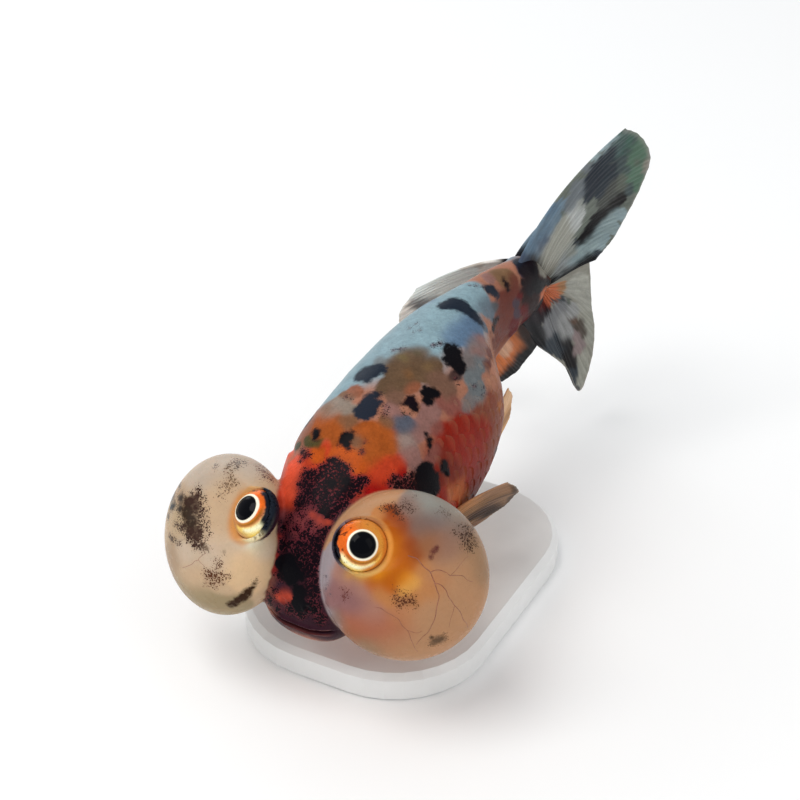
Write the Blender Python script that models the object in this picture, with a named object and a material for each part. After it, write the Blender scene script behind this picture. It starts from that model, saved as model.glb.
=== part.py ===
# Bubble-eye goldfish, a still life-size model on a small display stand.
# The fish is laid out in its own frame in millimetres (nose toward -Y, left
# side toward +X, back toward +Z) and then placed, nose a little down, over the
# middle of the stand.  The underside of the stand lies on Z = 0.

import math

import bmesh
import bpy
import numpy as np

for old in list(bpy.data.objects):
    bpy.data.objects.remove(old, do_unlink=True)

# ---------------------------------------------------------------- sizes (mm)
MM = 0.001
GAP = 0.3                 # clearance between neighbouring pieces
NOSE_DOWN = 15.0          # degrees the fish hangs nose-down
BALANCE_Y = 38.0          # point along the fish that stands over the base
BODY_LIFT = 33.0          # height of the fish's own origin above the table

BODY_LENGTH = 86.0        # snout to the end of the tail stalk
HEAD_END = 24.0           # end of the head, at the gill cover
STALK_START = 66.0        # start of the tail stalk
SECTION_POWER = 2.2       # 2 is an ellipse, more is squarer

# station along the body, back height, belly height, half width, side shift
BODY = (
    (0.0, -4.8, -10.2, 4.0, -0.3),
    (1.2, -1.6, -12.4, 6.2, -0.3),
    (4.0, 3.0, -14.6, 7.9, -0.2),
    (9.0, 7.6, -16.6, 9.6, 0.0),
    (17.0, 11.4, -17.8, 11.9, 0.0),
    (26.0, 13.6, -19.6, 13.2, 0.0),
    (38.0, 13.0, -21.2, 12.9, 0.0),
    (44.0, 12.1, -19.9, 12.6, 0.2),
    (50.0, 11.0, -17.2, 11.6, 0.1),
    (56.0, 10.0, -13.7, 8.5, -0.6),
    (62.0, 8.0, -11.1, 5.3, -1.0),
    (68.0, 5.7, -10.5, 3.9, -0.8),
    (74.0, 3.2, -11.9, 3.9, -0.2),
    (80.0, 0.2, -13.5, 3.9, 0.2),
    (86.0, -2.9, -14.4, 3.5, 0.3),
)

EYE_LEFT = (10.0, 6.6, 8.7)
EYE_RIGHT = (-7.6, 5.8, 9.0)
EYE_AIM = (0.483, -0.449, 0.752)   # left eye, the right eye mirrors it
EYE_RADIUS = 4.0
EYE_DEPTH = 3.0

BUBBLE_LEFT = (13.9, 10.6, -1.1)
BUBBLE_RIGHT = (-15.7, 7.4, -0.8)
BUBBLE_RIGHT_SCALE = 0.97
BUBBLE_THIN, BUBBLE_WIDE, BUBBLE_LONG = 9.0, 12.9, 13.4
BUBBLE_THIN_AIM = (0.452, -0.701, 0.551)    # left bubble: out, forward and up
BUBBLE_LONG_AIM = (-0.453, 0.351, 0.819)    # up, inward and back

FIN_ROOT_THICK = 0.95
FIN_EDGE_THICK = 0.62

BASE_LENGTH = 58.0
BASE_WIDTH = 42.0
BASE_HEIGHT = 5.0
BASE_CORNER = 16.0
BASE_CHAMFER = 1.0
ROD_RADIUS = 1.5
ROD_SOCKET = 0.6

# ------------------------------------------------------------ colour sheets
SKIN_ORANGE = (0.62, 0.20, 0.06)
SKIN_PALE = (0.46, 0.50, 0.56)
SKIN_BROWN = (0.33, 0.15, 0.09)
BUBBLE_TAN = (0.60, 0.47, 0.38)
FIN_GREY = (0.33, 0.35, 0.33)
FIN_TAN = (0.55, 0.38, 0.25)
EYE_GOLD = (0.75, 0.46, 0.12)


def material(name, colour, rough=0.45, metal=0.0):
    mat = bpy.data.materials.new(name)
    mat.use_nodes = True
    bsdf = mat.node_tree.nodes["Principled BSDF"]
    bsdf.inputs["Base Color"].default_value = (*colour, 1.0)
    bsdf.inputs["Roughness"].default_value = rough
    bsdf.inputs["Metallic"].default_value = metal
    return mat


# ------------------------------------------------------------- placing it all
_T = math.radians(NOSE_DOWN)


def place(p):
    """Fish frame in mm to the model's frame in metres."""
    x, y, z = p
    y -= BALANCE_Y
    return (x * MM,
            (y * math.cos(_T) - z * math.sin(_T)) * MM,
            (y * math.sin(_T) + z * math.cos(_T) + BODY_LIFT) * MM)


def solid(name, verts, faces, colour=None, rough=0.45, metal=0.0, placed=True):
    mesh = bpy.data.meshes.new(name)
    mesh.from_pydata([place(v) for v in verts] if placed
                     else [tuple(c * MM for c in v) for v in verts], [], faces)
    bm = bmesh.new()
    bm.from_mesh(mesh)
    bmesh.ops.recalc_face_normals(bm, faces=bm.faces)
    if bm.calc_volume(signed=True) < 0:
        bmesh.ops.reverse_faces(bm, faces=bm.faces)
    bmesh.ops.triangulate(bm, faces=[f for f in bm.faces if len(f.verts) > 3])
    bm.to_mesh(mesh)
    bm.free()
    obj = bpy.data.objects.new(name, mesh)
    bpy.context.scene.collection.objects.link(obj)
    if colour is not None:
        mesh.materials.append(material(name, colour, rough, metal))
    return obj


def carve(obj, *tools):
    """Take each tool away from obj; the tools stay as hidden wire shapes."""
    for k, tool in enumerate(tools):
        mod = obj.modifiers.new(f"clear_{k}", "BOOLEAN")
        mod.operation = "DIFFERENCE"
        mod.solver = "EXACT"
        mod.object = tool


def as_cutter(obj):
    obj.hide_render = True
    obj.display_type = "WIRE"
    return obj


# -------------------------------------------------------------------- shapes
def curve_through(xs, ys, x):
    """Smooth curve with slopes limited so that it never overshoots."""
    xs, ys = np.asarray(xs, float), np.asarray(ys, float)
    h = np.diff(xs)
    d = np.diff(ys) / h
    m = np.zeros_like(ys)
    m[0], m[-1] = d[0], d[-1]
    for i in range(1, len(xs) - 1):
        if d[i - 1] * d[i] > 0:
            w1, w2 = 2 * h[i] + h[i - 1], h[i] + 2 * h[i - 1]
            m[i] = (w1 + w2) / (w1 / d[i - 1] + w2 / d[i])
    i = int(np.clip(np.searchsorted(xs, x, side="right") - 1, 0, len(h) - 1))
    t = (x - xs[i]) / h[i]
    return float((1 + 2 * t) * (1 - t) ** 2 * ys[i] + t * (1 - t) ** 2 * h[i] * m[i]
                 + t * t * (3 - 2 * t) * ys[i + 1] + t * t * (t - 1) * h[i] * m[i + 1])


def body_section(y, grow=0.0):
    cols = list(zip(*BODY))
    top = curve_through(cols[0], cols[1], y) + grow
    low = curve_through(cols[0], cols[2], y) - grow
    half = curve_through(cols[0], cols[3], y) + grow
    return top, low, half, curve_through(cols[0], cols[4], y)


def body_piece(name, start, end, colour, rings, around=28, grow=0.0):
    """Part of the body between two stations, with flat ends."""
    verts, faces = [], []
    for r in range(rings):
        t = r / (rings - 1)
        y = start + (end - start) * t
        top, low, half, shift = body_section(min(max(y, 0.0), BODY_LENGTH), grow)
        mid, tall = (top + low) / 2, (top - low) / 2
        for k in range(around):
            a = 2 * math.pi * k / around
            c, s = math.cos(a), math.sin(a)
            e = 2 / SECTION_POWER
            verts.append((shift + half * math.copysign(abs(c) ** e, c), y,
                          mid + tall * math.copysign(abs(s) ** e, s)))
    for r in range(rings - 1):
        for k in range(around):
            n = (k + 1) % around
            faces.append((r * around + k, r * around + n,
                          (r + 1) * around + n, (r + 1) * around + k))
    faces.append(tuple(range(around))[::-1])
    faces.append(tuple(range((rings - 1) * around, rings * around)))
    return solid(name, verts, faces, colour)


def ellipsoid(name, centre, axes, colour=None, around=24, rings=13, grow=0.0, rough=0.3):
    """Axes are three perpendicular directions, each as long as its radius."""
    axes = [np.asarray(a, float) for a in axes]
    axes = [a * (1 + grow / np.linalg.norm(a)) for a in axes]
    c0 = np.asarray(centre, float)
    verts = [tuple(c0 + axes[2])]
    for r in range(1, rings):
        lat = math.pi * r / rings
        for k in range(around):
            a = 2 * math.pi * k / around
            verts.append(tuple(c0 + math.sin(lat) * (math.cos(a) * axes[0]
                         + math.sin(a) * axes[1]) + math.cos(lat) * axes[2]))
    verts.append(tuple(c0 - axes[2]))
    last = len(verts) - 1
    faces = []
    for k in range(around):
        n = (k + 1) % around
        faces.append((0, 1 + k, 1 + n))
        faces.append((last, last - around + n, last - around + k))
        for r in range(rings - 2):
            a = 1 + r * around
            faces.append((a + k, a + around + k, a + around + n, a + n))
    return solid(name, verts, faces, colour, rough)


def bubble_axes(side):
    thin = np.array([side * BUBBLE_THIN_AIM[0], *BUBBLE_THIN_AIM[1:]])
    thin /= np.linalg.norm(thin)
    tall = np.array([side * BUBBLE_LONG_AIM[0], *BUBBLE_LONG_AIM[1:]])
    tall -= thin * (tall @ thin)
    tall /= np.linalg.norm(tall)
    wide = np.cross(tall, thin)
    size = 1.0 if side > 0 else BUBBLE_RIGHT_SCALE
    return [wide * BUBBLE_WIDE * size, thin * BUBBLE_THIN * size,
            tall * BUBBLE_LONG * size]


def eye_axes(side):
    aim = np.array([side * EYE_AIM[0], EYE_AIM[1], EYE_AIM[2]])
    aim /= np.linalg.norm(aim)
    across = np.cross(aim, (0.0, 0.0, 1.0))
    across /= np.linalg.norm(across)
    other = np.cross(aim, across)
    return [across * EYE_RADIUS, other * EYE_RADIUS, aim * EYE_DEPTH]


def spread(rays, u):
    """Fan position u in 0..1 among the named rays, eased between them."""
    rays = np.asarray(rays, float)
    n = len(rays) - 1
    i = min(int(u * n), n - 1)
    t = u * n - i
    p1, p2 = rays[i], rays[i + 1]
    p0 = rays[i - 1] if i > 0 else 2 * p1 - p2
    p3 = rays[i + 2] if i < n - 1 else 2 * p2 - p1
    return 0.5 * (2 * p1 + (p2 - p0) * t + (2 * p0 - 5 * p1 + 4 * p2 - p3) * t * t
                  + (3 * p1 - 3 * p2 + p3 - p0) * t ** 3)


def fin(name, rays, colour, across=9, along=9, rough=0.4):
    """A thin fin.  Each ray is (root point, middle point, tip point)."""
    grid = np.zeros((across, along, 3))
    for i in range(across):
        root, mid, tip = spread(rays, i / (across - 1))
        for j in range(along):
            t = j / (along - 1)
            bow = mid - (root + tip) / 2
            grid[i, j] = root + (tip - root) * t + bow * 4 * t * (1 - t)
    du = np.gradient(grid, axis=0)
    dv = np.gradient(grid, axis=1)
    nrm = np.cross(du, dv)
    nrm /= np.linalg.norm(nrm, axis=2)[..., None]
    verts, faces = [], []
    for side in (1, -1):
        for i in range(across):
            for j in range(along):
                t = j / (along - 1)
                half = (FIN_ROOT_THICK * (1 - t) + FIN_EDGE_THICK * t) / 2
                verts.append(tuple(grid[i, j] + nrm[i, j] * half * side))
    size = across * along

    def at(i, j, side=0):
        return side * size + i * along + j

    for i in range(across - 1):
        for j in range(along - 1):
            faces.append((at(i, j), at(i + 1, j), at(i + 1, j + 1), at(i, j + 1)))
            faces.append((at(i, j, 1), at(i, j + 1, 1), at(i + 1, j + 1, 1), at(i + 1, j, 1)))
    for j in range(along - 1):
        faces.append((at(0, j), at(0, j + 1), at(0, j + 1, 1), at(0, j, 1)))
        faces.append((at(across - 1, j), at(across - 1, j, 1),
                      at(across - 1, j + 1, 1), at(across - 1, j + 1)))
    for i in range(across - 1):
        faces.append((at(i, 0), at(i, 0, 1), at(i + 1, 0, 1), at(i + 1, 0)))
        faces.append((at(i, along - 1), at(i + 1, along - 1),
                      at(i + 1, along - 1, 1), at(i, along - 1, 1)))
    return solid(name, verts, faces, colour, rough)


def mirrored(rays, shift=(0.0, 0.0, 0.0)):
    return tuple(tuple((-p[0] + shift[0], p[1] + shift[1], p[2] + shift[2])
                       for p in ray) for ray in rays)


# -------------------------------------------------------------------- cutters
body_room = as_cutter(body_piece("room_body", -0.4, BODY_LENGTH + 0.4, None, 44, grow=GAP))
bubble_room_left = as_cutter(ellipsoid("room_bubble_left", BUBBLE_LEFT, bubble_axes(1), grow=GAP))
bubble_room_right = as_cutter(ellipsoid("room_bubble_right", BUBBLE_RIGHT, bubble_axes(-1), grow=GAP))
eye_room_left = as_cutter(ellipsoid("room_eye_left", EYE_LEFT, eye_axes(1), around=20, rings=9, grow=GAP))
eye_room_right = as_cutter(ellipsoid("room_eye_right", EYE_RIGHT, eye_axes(-1), around=20, rings=9, grow=GAP))

# ----------------------------------------------------------------------- body
head = body_piece("head", 0.0, HEAD_END, SKIN_BROWN, 14, around=32)
trunk = body_piece("trunk", HEAD_END + GAP, STALK_START, SKIN_ORANGE, 18)
stalk = body_piece("tail_stalk", STALK_START + GAP, BODY_LENGTH, SKIN_PALE, 10, around=24)
carve(head, bubble_room_left, bubble_room_right, eye_room_left, eye_room_right)

bubble_left = ellipsoid("bubble_left", BUBBLE_LEFT, bubble_axes(1), BUBBLE_TAN, rough=0.2)
bubble_right = ellipsoid("bubble_right", BUBBLE_RIGHT, bubble_axes(-1), BUBBLE_TAN, rough=0.2)
carve(bubble_left, eye_room_left)
carve(bubble_right, eye_room_right)
ellipsoid("eye_left", EYE_LEFT, eye_axes(1), EYE_GOLD, around=20, rings=9, rough=0.12)
ellipsoid("eye_right", EYE_RIGHT, eye_axes(-1), EYE_GOLD, around=20, rings=9, rough=0.12)

# ----------------------------------------------------------------------- fins
# Each ray: root, middle and tip in the fish frame.
TAIL_LEFT_UPPER = (
    ((1.6, 82.5, -3.0), (4.0, 94.0, 5.6), (9.8, 107.5, 11.0)),
    ((2.2, 84.0, -4.2), (5.2, 98.0, 3.4), (10.2, 113.2, 5.2)),
    ((2.8, 85.0, -5.4), (5.6, 99.5, -0.6), (10.4, 116.6, -2.2)),
    ((3.0, 86.0, -6.6), (5.6, 100.0, -4.4), (9.4, 114.8, -7.6)),
    ((3.1, 86.6, -7.8), (5.0, 98.5, -7.8), (8.2, 108.8, -11.2)),
    ((3.3, 86.6, -9.0), (6.4, 94.5, -9.4), (8.4, 102.8, -11.4)),
    ((3.4, 86.4, -9.8), (5.6, 91.6, -10.3), (7.4, 96.8, -11.9)),
)
TAIL_LEFT_LOWER = (
    ((3.6, 86.6, -10.8), (5.4, 91.3, -11.6), (6.9, 96.2, -13.2)),
    ((3.4, 86.8, -11.6), (5.0, 91.8, -16.4), (6.2, 96.2, -22.2)),
    ((3.0, 86.8, -12.6), (4.8, 92.0, -20.6), (6.3, 96.8, -30.0)),
    ((2.6, 86.4, -13.4), (4.4, 90.8, -23.8), (6.0, 94.4, -36.6)),
    ((2.0, 85.6, -14.0), (3.6, 87.6, -26.4), (5.2, 90.6, -41.2)),
    ((1.7, 84.0, -14.0), (3.0, 85.3, -23.2), (4.4, 87.6, -32.6)),
    ((1.4, 80.8, -12.4), (1.9, 80.4, -17.2), (2.7, 80.6, -20.8)),
)
TAIL_RIGHT_UPPER = (
    ((-1.6, 82.5, -3.0), (-2.4, 94.0, -4.6), (-2.6, 108.0, -9.0)),
    ((-2.4, 84.6, -4.6), (-3.2, 97.0, -8.6), (-3.2, 113.6, -14.0)),
    ((-3.0, 85.8, -6.2), (-3.8, 98.0, -12.0), (-3.4, 114.4, -19.6)),
    ((-3.3, 86.6, -7.8), (-4.0, 97.0, -14.4), (-3.2, 109.0, -23.4)),
    ((-3.4, 86.6, -9.2), (-4.4, 93.4, -14.0), (-4.2, 101.0, -20.6)),
)
TAIL_RIGHT_LOWER = (
    ((-3.4, 85.4, -5.6), (-10.8, 81.8, -6.2), (-20.6, 78.8, -12.2)),
    ((-3.8, 85.8, -7.6), (-12.6, 81.8, -11.2), (-23.6, 75.6, -17.8)),
    ((-3.8, 86.2, -9.6), (-12.0, 83.0, -15.6), (-20.8, 77.0, -24.6)),
    ((-3.4, 86.2, -11.6), (-9.6, 84.4, -20.4), (-16.4, 80.0, -32.4)),
    ((-2.4, 85.2, -13.4), (-5.2, 84.4, -19.6), (-9.6, 82.6, -27.6)),
)
ANAL_LEFT = (
    ((1.0, 59.5, -10.8), (1.5, 61.6, -12.4), (1.9, 63.6, -13.6)),
    ((1.0, 63.0, -9.4), (1.6, 65.0, -13.6), (2.1, 67.0, -17.2)),
    ((1.0, 66.5, -8.8), (1.6, 69.2, -14.6), (2.1, 71.6, -19.4)),
    ((1.0, 70.0, -9.2), (1.6, 72.8, -15.6), (2.1, 75.8, -20.6)),
    ((1.2, 73.5, -10.2), (1.7, 76.2, -15.8), (2.1, 79.6, -21.2)),
)
ANAL_SHIFT = (-1.8, 0.0, 0.0)      # the tail stalk bends a little to the right
PELVIC_LEFT = (
    ((6.2, 50.5, -14.4), (6.8, 55.5, -12.4), (7.0, 60.4, -10.6)),
    ((6.2, 49.0, -15.2), (7.0, 55.2, -14.2), (7.2, 61.0, -13.2)),
    ((6.2, 47.4, -16.0), (7.0, 53.8, -16.0), (7.2, 59.6, -15.6)),
    ((6.0, 45.8, -16.8), (6.8, 51.4, -18.0), (7.0, 56.6, -17.6)),
    ((5.8, 44.2, -17.6), (6.2, 48.2, -19.6), (6.4, 52.2, -19.6)),
)
PECTORAL_LEFT = (
    ((11.6, 27.0, -7.0), (15.2, 32.4, -5.6), (18.2, 37.2, -6.0)),
    ((11.6, 27.2, -8.4), (15.4, 33.6, -7.8), (19.0, 38.6, -8.6)),
    ((11.4, 27.4, -9.8), (14.8, 34.4, -10.2), (17.6, 41.0, -13.0)),
    ((11.2, 27.4, -11.2), (13.4, 34.4, -13.4), (15.0, 41.2, -16.8)),
    ((11.0, 27.2, -12.4), (12.4, 32.6, -15.2), (12.8, 38.0, -18.2)),
)

fins = [
    fin("tail_fin_left_upper", TAIL_LEFT_UPPER, FIN_GREY, across=13, along=11),
    fin("tail_fin_left_lower", TAIL_LEFT_LOWER, FIN_GREY, across=15, along=9),
    fin("tail_fin_right_upper", TAIL_RIGHT_UPPER, FIN_GREY, across=9, along=9),
    fin("tail_fin_right_lower", TAIL_RIGHT_LOWER, FIN_GREY, across=9, along=9),
    fin("anal_fin_left", ANAL_LEFT, FIN_TAN, across=9, along=6),
    fin("anal_fin_right", mirrored(ANAL_LEFT, ANAL_SHIFT), FIN_TAN, across=9, along=6),
    fin("pelvic_fin_left", PELVIC_LEFT, FIN_TAN, across=9, along=7),
    fin("pelvic_fin_right", mirrored(PELVIC_LEFT), FIN_TAN, across=9, along=7),
    fin("pectoral_fin_left", PECTORAL_LEFT, FIN_TAN, across=9, along=8),
    fin("pectoral_fin_right", mirrored(PECTORAL_LEFT), FIN_TAN, across=9, along=8),
]
for f in fins:
    carve(f, body_room)

# ---------------------------------------------------------------------- stand
def stand_plate():
    """Rounded rectangular plate with a small chamfer round the top edge."""
    steps = 8
    outline = []
    for cx, cy, a0 in ((1, 1, 0), (-1, 1, 90), (-1, -1, 180), (1, -1, 270)):
        for k in range(steps + 1):
            outline.append((cx, cy, math.radians(a0 + 90 * k / steps)))
    layers = ((0.0, 0.4), (0.4, 0.0), (BASE_HEIGHT - BASE_CHAMFER, 0.0), (BASE_HEIGHT, BASE_CHAMFER))
    verts, faces = [], []
    for z, inset in layers:
        for cx, cy, a in outline:
            r = BASE_CORNER - inset
            verts.append((cx * (BASE_WIDTH / 2 - BASE_CORNER) + r * math.cos(a),
                          cy * (BASE_LENGTH / 2 - BASE_CORNER) + r * math.sin(a), z))
    n = len(outline)
    for l in range(len(layers) - 1):
        for k in range(n):
            m = (k + 1) % n
            faces.append((l * n + k, l * n + m, (l + 1) * n + m, (l + 1) * n + k))
    faces.append(tuple(range(n))[::-1])
    faces.append(tuple(range((len(layers) - 1) * n, len(layers) * n)))
    return solid("stand_base", verts, faces, (0.86, 0.86, 0.85), 0.4, placed=False)


def stand_rod():
    """Upright rod; its top is carved to the belly."""
    around = 20
    low = BASE_HEIGHT + 0.05
    verts, faces = [], []
    for z in (low, BODY_LIFT - 8.0):
        for k in range(around):
            a = 2 * math.pi * k / around
            verts.append((ROD_RADIUS * math.cos(a), ROD_RADIUS * math.sin(a), z))
    for k in range(around):
        m = (k + 1) % around
        faces.append((k, m, around + m, around + k))
    faces.append(tuple(range(around))[::-1])
    faces.append(tuple(range(around, 2 * around)))
    return solid("stand_rod", verts, faces, (0.62, 0.63, 0.65), 0.3, 1.0, placed=False)


plate = stand_plate()
rod = stand_rod()
carve(rod, body_room)
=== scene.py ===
# Bubble-eye goldfish model: looks.  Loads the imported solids, lays one skin over
# the body and both eye sacs, adds scales, eyes, fins and fine blood vessels,
# then floor, light and camera.
import math

import bmesh
import bpy
import numpy as np
from mathutils import Matrix, Vector


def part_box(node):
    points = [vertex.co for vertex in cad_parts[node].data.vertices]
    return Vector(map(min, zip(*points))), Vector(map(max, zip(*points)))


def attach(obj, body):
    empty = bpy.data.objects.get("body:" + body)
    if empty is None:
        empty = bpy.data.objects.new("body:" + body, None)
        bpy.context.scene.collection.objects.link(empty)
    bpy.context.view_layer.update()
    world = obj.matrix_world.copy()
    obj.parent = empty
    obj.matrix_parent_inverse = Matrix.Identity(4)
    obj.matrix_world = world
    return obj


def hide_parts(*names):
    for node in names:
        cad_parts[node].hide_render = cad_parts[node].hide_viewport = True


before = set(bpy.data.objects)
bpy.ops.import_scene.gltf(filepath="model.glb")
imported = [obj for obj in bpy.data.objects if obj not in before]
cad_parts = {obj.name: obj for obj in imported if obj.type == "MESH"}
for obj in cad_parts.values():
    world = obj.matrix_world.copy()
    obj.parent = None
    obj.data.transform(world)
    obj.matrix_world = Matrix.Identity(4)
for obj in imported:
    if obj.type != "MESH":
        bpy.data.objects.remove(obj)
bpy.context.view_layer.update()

# ------------------------------------------------------------ the fish frame
# Millimetres, nose toward -Y, left side toward +X, back toward +Z.
NOSE_DOWN = math.radians(15.0)
BALANCE_Y = 38.0
BODY_LIFT = 33.0
BODY_LENGTH = 86.0
POWER = 2.2

BODY = np.array((
    (0.0, -4.8, -10.2, 4.0, -0.3),
    (1.2, -1.6, -12.4, 6.2, -0.3),
    (4.0, 3.0, -14.6, 7.9, -0.2),
    (9.0, 7.6, -16.6, 9.6, 0.0),
    (17.0, 11.4, -17.8, 11.9, 0.0),
    (26.0, 13.6, -19.6, 13.2, 0.0),
    (38.0, 13.0, -21.2, 12.9, 0.0),
    (44.0, 12.1, -19.9, 12.6, 0.2),
    (50.0, 11.0, -17.2, 11.6, 0.1),
    (56.0, 10.0, -13.7, 8.5, -0.6),
    (62.0, 8.0, -11.1, 5.3, -1.0),
    (68.0, 5.7, -10.5, 3.9, -0.8),
    (74.0, 3.2, -11.9, 3.9, -0.2),
    (80.0, 0.2, -13.5, 3.9, 0.2),
    (86.0, -2.9, -14.4, 3.5, 0.3),
))
EYE = {1: np.array((10.0, 6.6, 8.7)), -1: np.array((-7.6, 5.8, 9.0))}
EYE_AIM = (0.483, -0.449, 0.752)
EYE_RADIUS, EYE_DEPTH = 4.0, 3.0
EYE_LIP = 0.5             # how far up the eye its rim reaches
SAC = {1: np.array((13.9, 10.6, -1.1)), -1: np.array((-15.7, 7.4, -0.8))}
SAC_SCALE = {1: 1.0, -1: 0.97}
SAC_THIN, SAC_WIDE, SAC_LONG = 9.0, 12.9, 13.4
SAC_THIN_AIM = (0.452, -0.701, 0.551)
SAC_LONG_AIM = (-0.453, 0.351, 0.819)
SKIN_IN = 0.16            # skin lies this far inside the solids


def turned(p):
    """Fish frame in mm to the model's frame in metres, before any drift."""
    p = np.atleast_2d(np.asarray(p, float))
    y = p[:, 1] - BALANCE_Y
    c, s = math.cos(NOSE_DOWN), math.sin(NOSE_DOWN)
    return np.stack([p[:, 0], y * c - p[:, 2] * s, y * s + p[:, 2] * c + BODY_LIFT], 1) * 0.001


def middle(node):
    lo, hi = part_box(node)
    return (np.array(lo) + np.array(hi)) / 2


# the eyes' solids say exactly where the fish hangs
DRIFT = (middle("eye_left") - turned(EYE[1])[0] + middle("eye_right") - turned(EYE[-1])[0]) / 2


def place(p):
    return turned(p) + DRIFT


# -------------------------------------------------------------- small helpers
def unit(v):
    v = np.asarray(v, float)
    return v / np.linalg.norm(v)


def smooth(x, lo, hi):
    t = np.clip((x - lo) / (hi - lo), 0.0, 1.0)
    return t * t * (3 - 2 * t)


def smin(a, b, k):
    h = np.maximum(k - np.abs(a - b), 0.0) / k
    return np.minimum(a, b) - h * h * k * 0.25


def smax(a, b, k):
    return -smin(-a, -b, k)


def linear(rgb):
    c = np.asarray(rgb, float) / 255.0
    return np.where(c <= 0.04045, c / 12.92, ((c + 0.055) / 1.055) ** 2.4)


def lattice(i, seed):
    h = i[:, 0] * 374761393 + i[:, 1] * 668265263 + i[:, 2] * 2147483647 + seed * 1442695041
    h = (h ^ (h >> 13)) * 1274126177
    h = h ^ (h >> 16)
    return (h & 0xFFFF).astype(float) / 65535.0


def noise(p, size, seed=0):
    """Smooth value noise, -1 to 1."""
    q = p / size + 1000.0
    i = np.floor(q).astype(np.int64)
    f = q - i
    f = f * f * (3 - 2 * f)
    out = np.zeros(len(p))
    for dx in (0, 1):
        for dy in (0, 1):
            for dz in (0, 1):
                w = ((f[:, 0] if dx else 1 - f[:, 0]) * (f[:, 1] if dy else 1 - f[:, 1])
                     * (f[:, 2] if dz else 1 - f[:, 2]))
                out += w * lattice(i + np.array((dx, dy, dz)), seed)
    return out * 2 - 1


def rough_noise(p, size, seed=0, octaves=3):
    out, amp = np.zeros(len(p)), 1.0
    for k in range(octaves):
        out += amp * noise(p, size / 2 ** k, seed + 17 * k)
        amp *= 0.5
    return out / 1.75


def warp(p, size, amount, seed=0):
    return p + amount * np.stack([rough_noise(p, size, seed + 101 * k) for k in range(3)], 1)


def slopes(xs, ys):
    h = np.diff(xs)
    d = np.diff(ys) / h
    m = np.zeros_like(ys)
    m[0], m[-1] = d[0], d[-1]
    for i in range(1, len(xs) - 1):
        if d[i - 1] * d[i] > 0:
            w1, w2 = 2 * h[i] + h[i - 1], h[i] + 2 * h[i - 1]
            m[i] = (w1 + w2) / (w1 / d[i - 1] + w2 / d[i])
    return m


BODY_SLOPES = [slopes(BODY[:, 0], BODY[:, k]) for k in range(1, 5)]


def station(y):
    """Back height, belly height, half width and side shift at y."""
    xs = BODY[:, 0]
    y = np.clip(y, xs[0], xs[-1])
    i = np.clip(np.searchsorted(xs, y, side="right") - 1, 0, len(xs) - 2)
    h = xs[i + 1] - xs[i]
    t = (y - xs[i]) / h
    out = []
    for k in range(4):
        v, m = BODY[:, k + 1], BODY_SLOPES[k]
        out.append((1 + 2 * t) * (1 - t) ** 2 * v[i] + t * (1 - t) ** 2 * h * m[i]
                   + t * t * (3 - 2 * t) * v[i + 1] + t * t * (t - 1) * h * m[i + 1])
    return out


def sac_axes(side):
    thin = unit((side * SAC_THIN_AIM[0], SAC_THIN_AIM[1], SAC_THIN_AIM[2]))
    tall = np.array((side * SAC_LONG_AIM[0], SAC_LONG_AIM[1], SAC_LONG_AIM[2]))
    tall = unit(tall - thin * (tall @ thin))
    wide = np.cross(tall, thin)
    k = SAC_SCALE[side]
    return (wide, thin, tall), (SAC_WIDE * k, SAC_THIN * k, SAC_LONG * k)


def eye_axes(side):
    aim = unit((side * EYE_AIM[0], EYE_AIM[1], EYE_AIM[2]))
    across = unit(np.cross(aim, (0.0, 0.0, 1.0)))
    return across, np.cross(aim, across), aim


def eye_compass(side):
    """Directions in the eye's plane: toward the head, and to the lit lower edge."""
    aim = eye_axes(side)[2]
    inner = np.array((-0.88, -0.458, 0.12)) * side
    lower = np.array((0.25, -0.67, -0.70)) if side > 0 else np.array((0.757, -0.224, -0.615))
    return unit(inner - aim * (inner @ aim)), unit(lower - aim * (lower @ aim))


def ellipsoid(p, centre, axes, radii, grow=0.0):
    q = p - centre
    n = np.zeros(len(p))
    for a, r in zip(axes, radii):
        n += ((q @ a) / (r + grow)) ** 2
    n = np.sqrt(n)
    far = np.sqrt((q * q).sum(1))
    return far * (1 - 1 / np.maximum(n, 0.05))


def capsule(p, a, b, r):
    a, b = np.asarray(a, float), np.asarray(b, float)
    d = b - a
    t = np.clip(((p - a) @ d) / (d @ d), 0, 1)
    q = p - a - t[:, None] * d
    return np.sqrt((q * q).sum(1)) - r


# ------------------------------------------------------------- shape of it all
def mouth_height(x):
    return -7.65 + 0.012 * x * x - 0.07 * x


def body_distance(p):
    x, y, z = p[:, 0], p[:, 1], p[:, 2]
    top, low, half, shift = station(y)
    mid, tall = (top + low) / 2, (top - low) / 2
    dx, dz = x - shift, z - mid
    q = ((np.abs(dx) / half) ** POWER + (np.abs(dz) / tall) ** POWER) ** (1 / POWER)
    far = np.hypot(dx, dz)
    d = far * (1 - 1 / np.maximum(q, 0.05))
    d = smax(d, -(y + 0.05), 2.2)
    d = smax(d, y - 84.9, 3.4)
    return d


def body_angle(p):
    """Degrees round the body: 0 on the back, 90 on the left side."""
    top, low, half, shift = station(p[:, 1])
    return np.degrees(np.arctan2((p[:, 0] - shift) / half,
                                 (p[:, 2] - (top + low) / 2) / ((top - low) / 2)))


FIN_ROOTS = (
    ((12.0, 27.0, -7.4), (11.2, 27.2, -12.0), 1.1), ((-12.0, 27.0, -7.4), (-11.2, 27.2, -12.0), 1.1),
    ((6.2, 50.0, -14.6), (5.8, 44.4, -17.4), 1.3), ((-6.2, 50.0, -14.6), (-5.8, 44.4, -17.4), 1.3),
    ((1.0, 60.0, -10.4), (1.2, 73.2, -10.0), 0.9), ((-2.8, 60.0, -10.4), (-3.0, 73.2, -10.0), 0.9),
    ((1.5, 81.6, -2.6), (2.9, 85.4, -8.6), 0.9), ((-1.7, 82.0, -3.4), (-3.0, 85.4, -8.4), 0.9),
)


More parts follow.
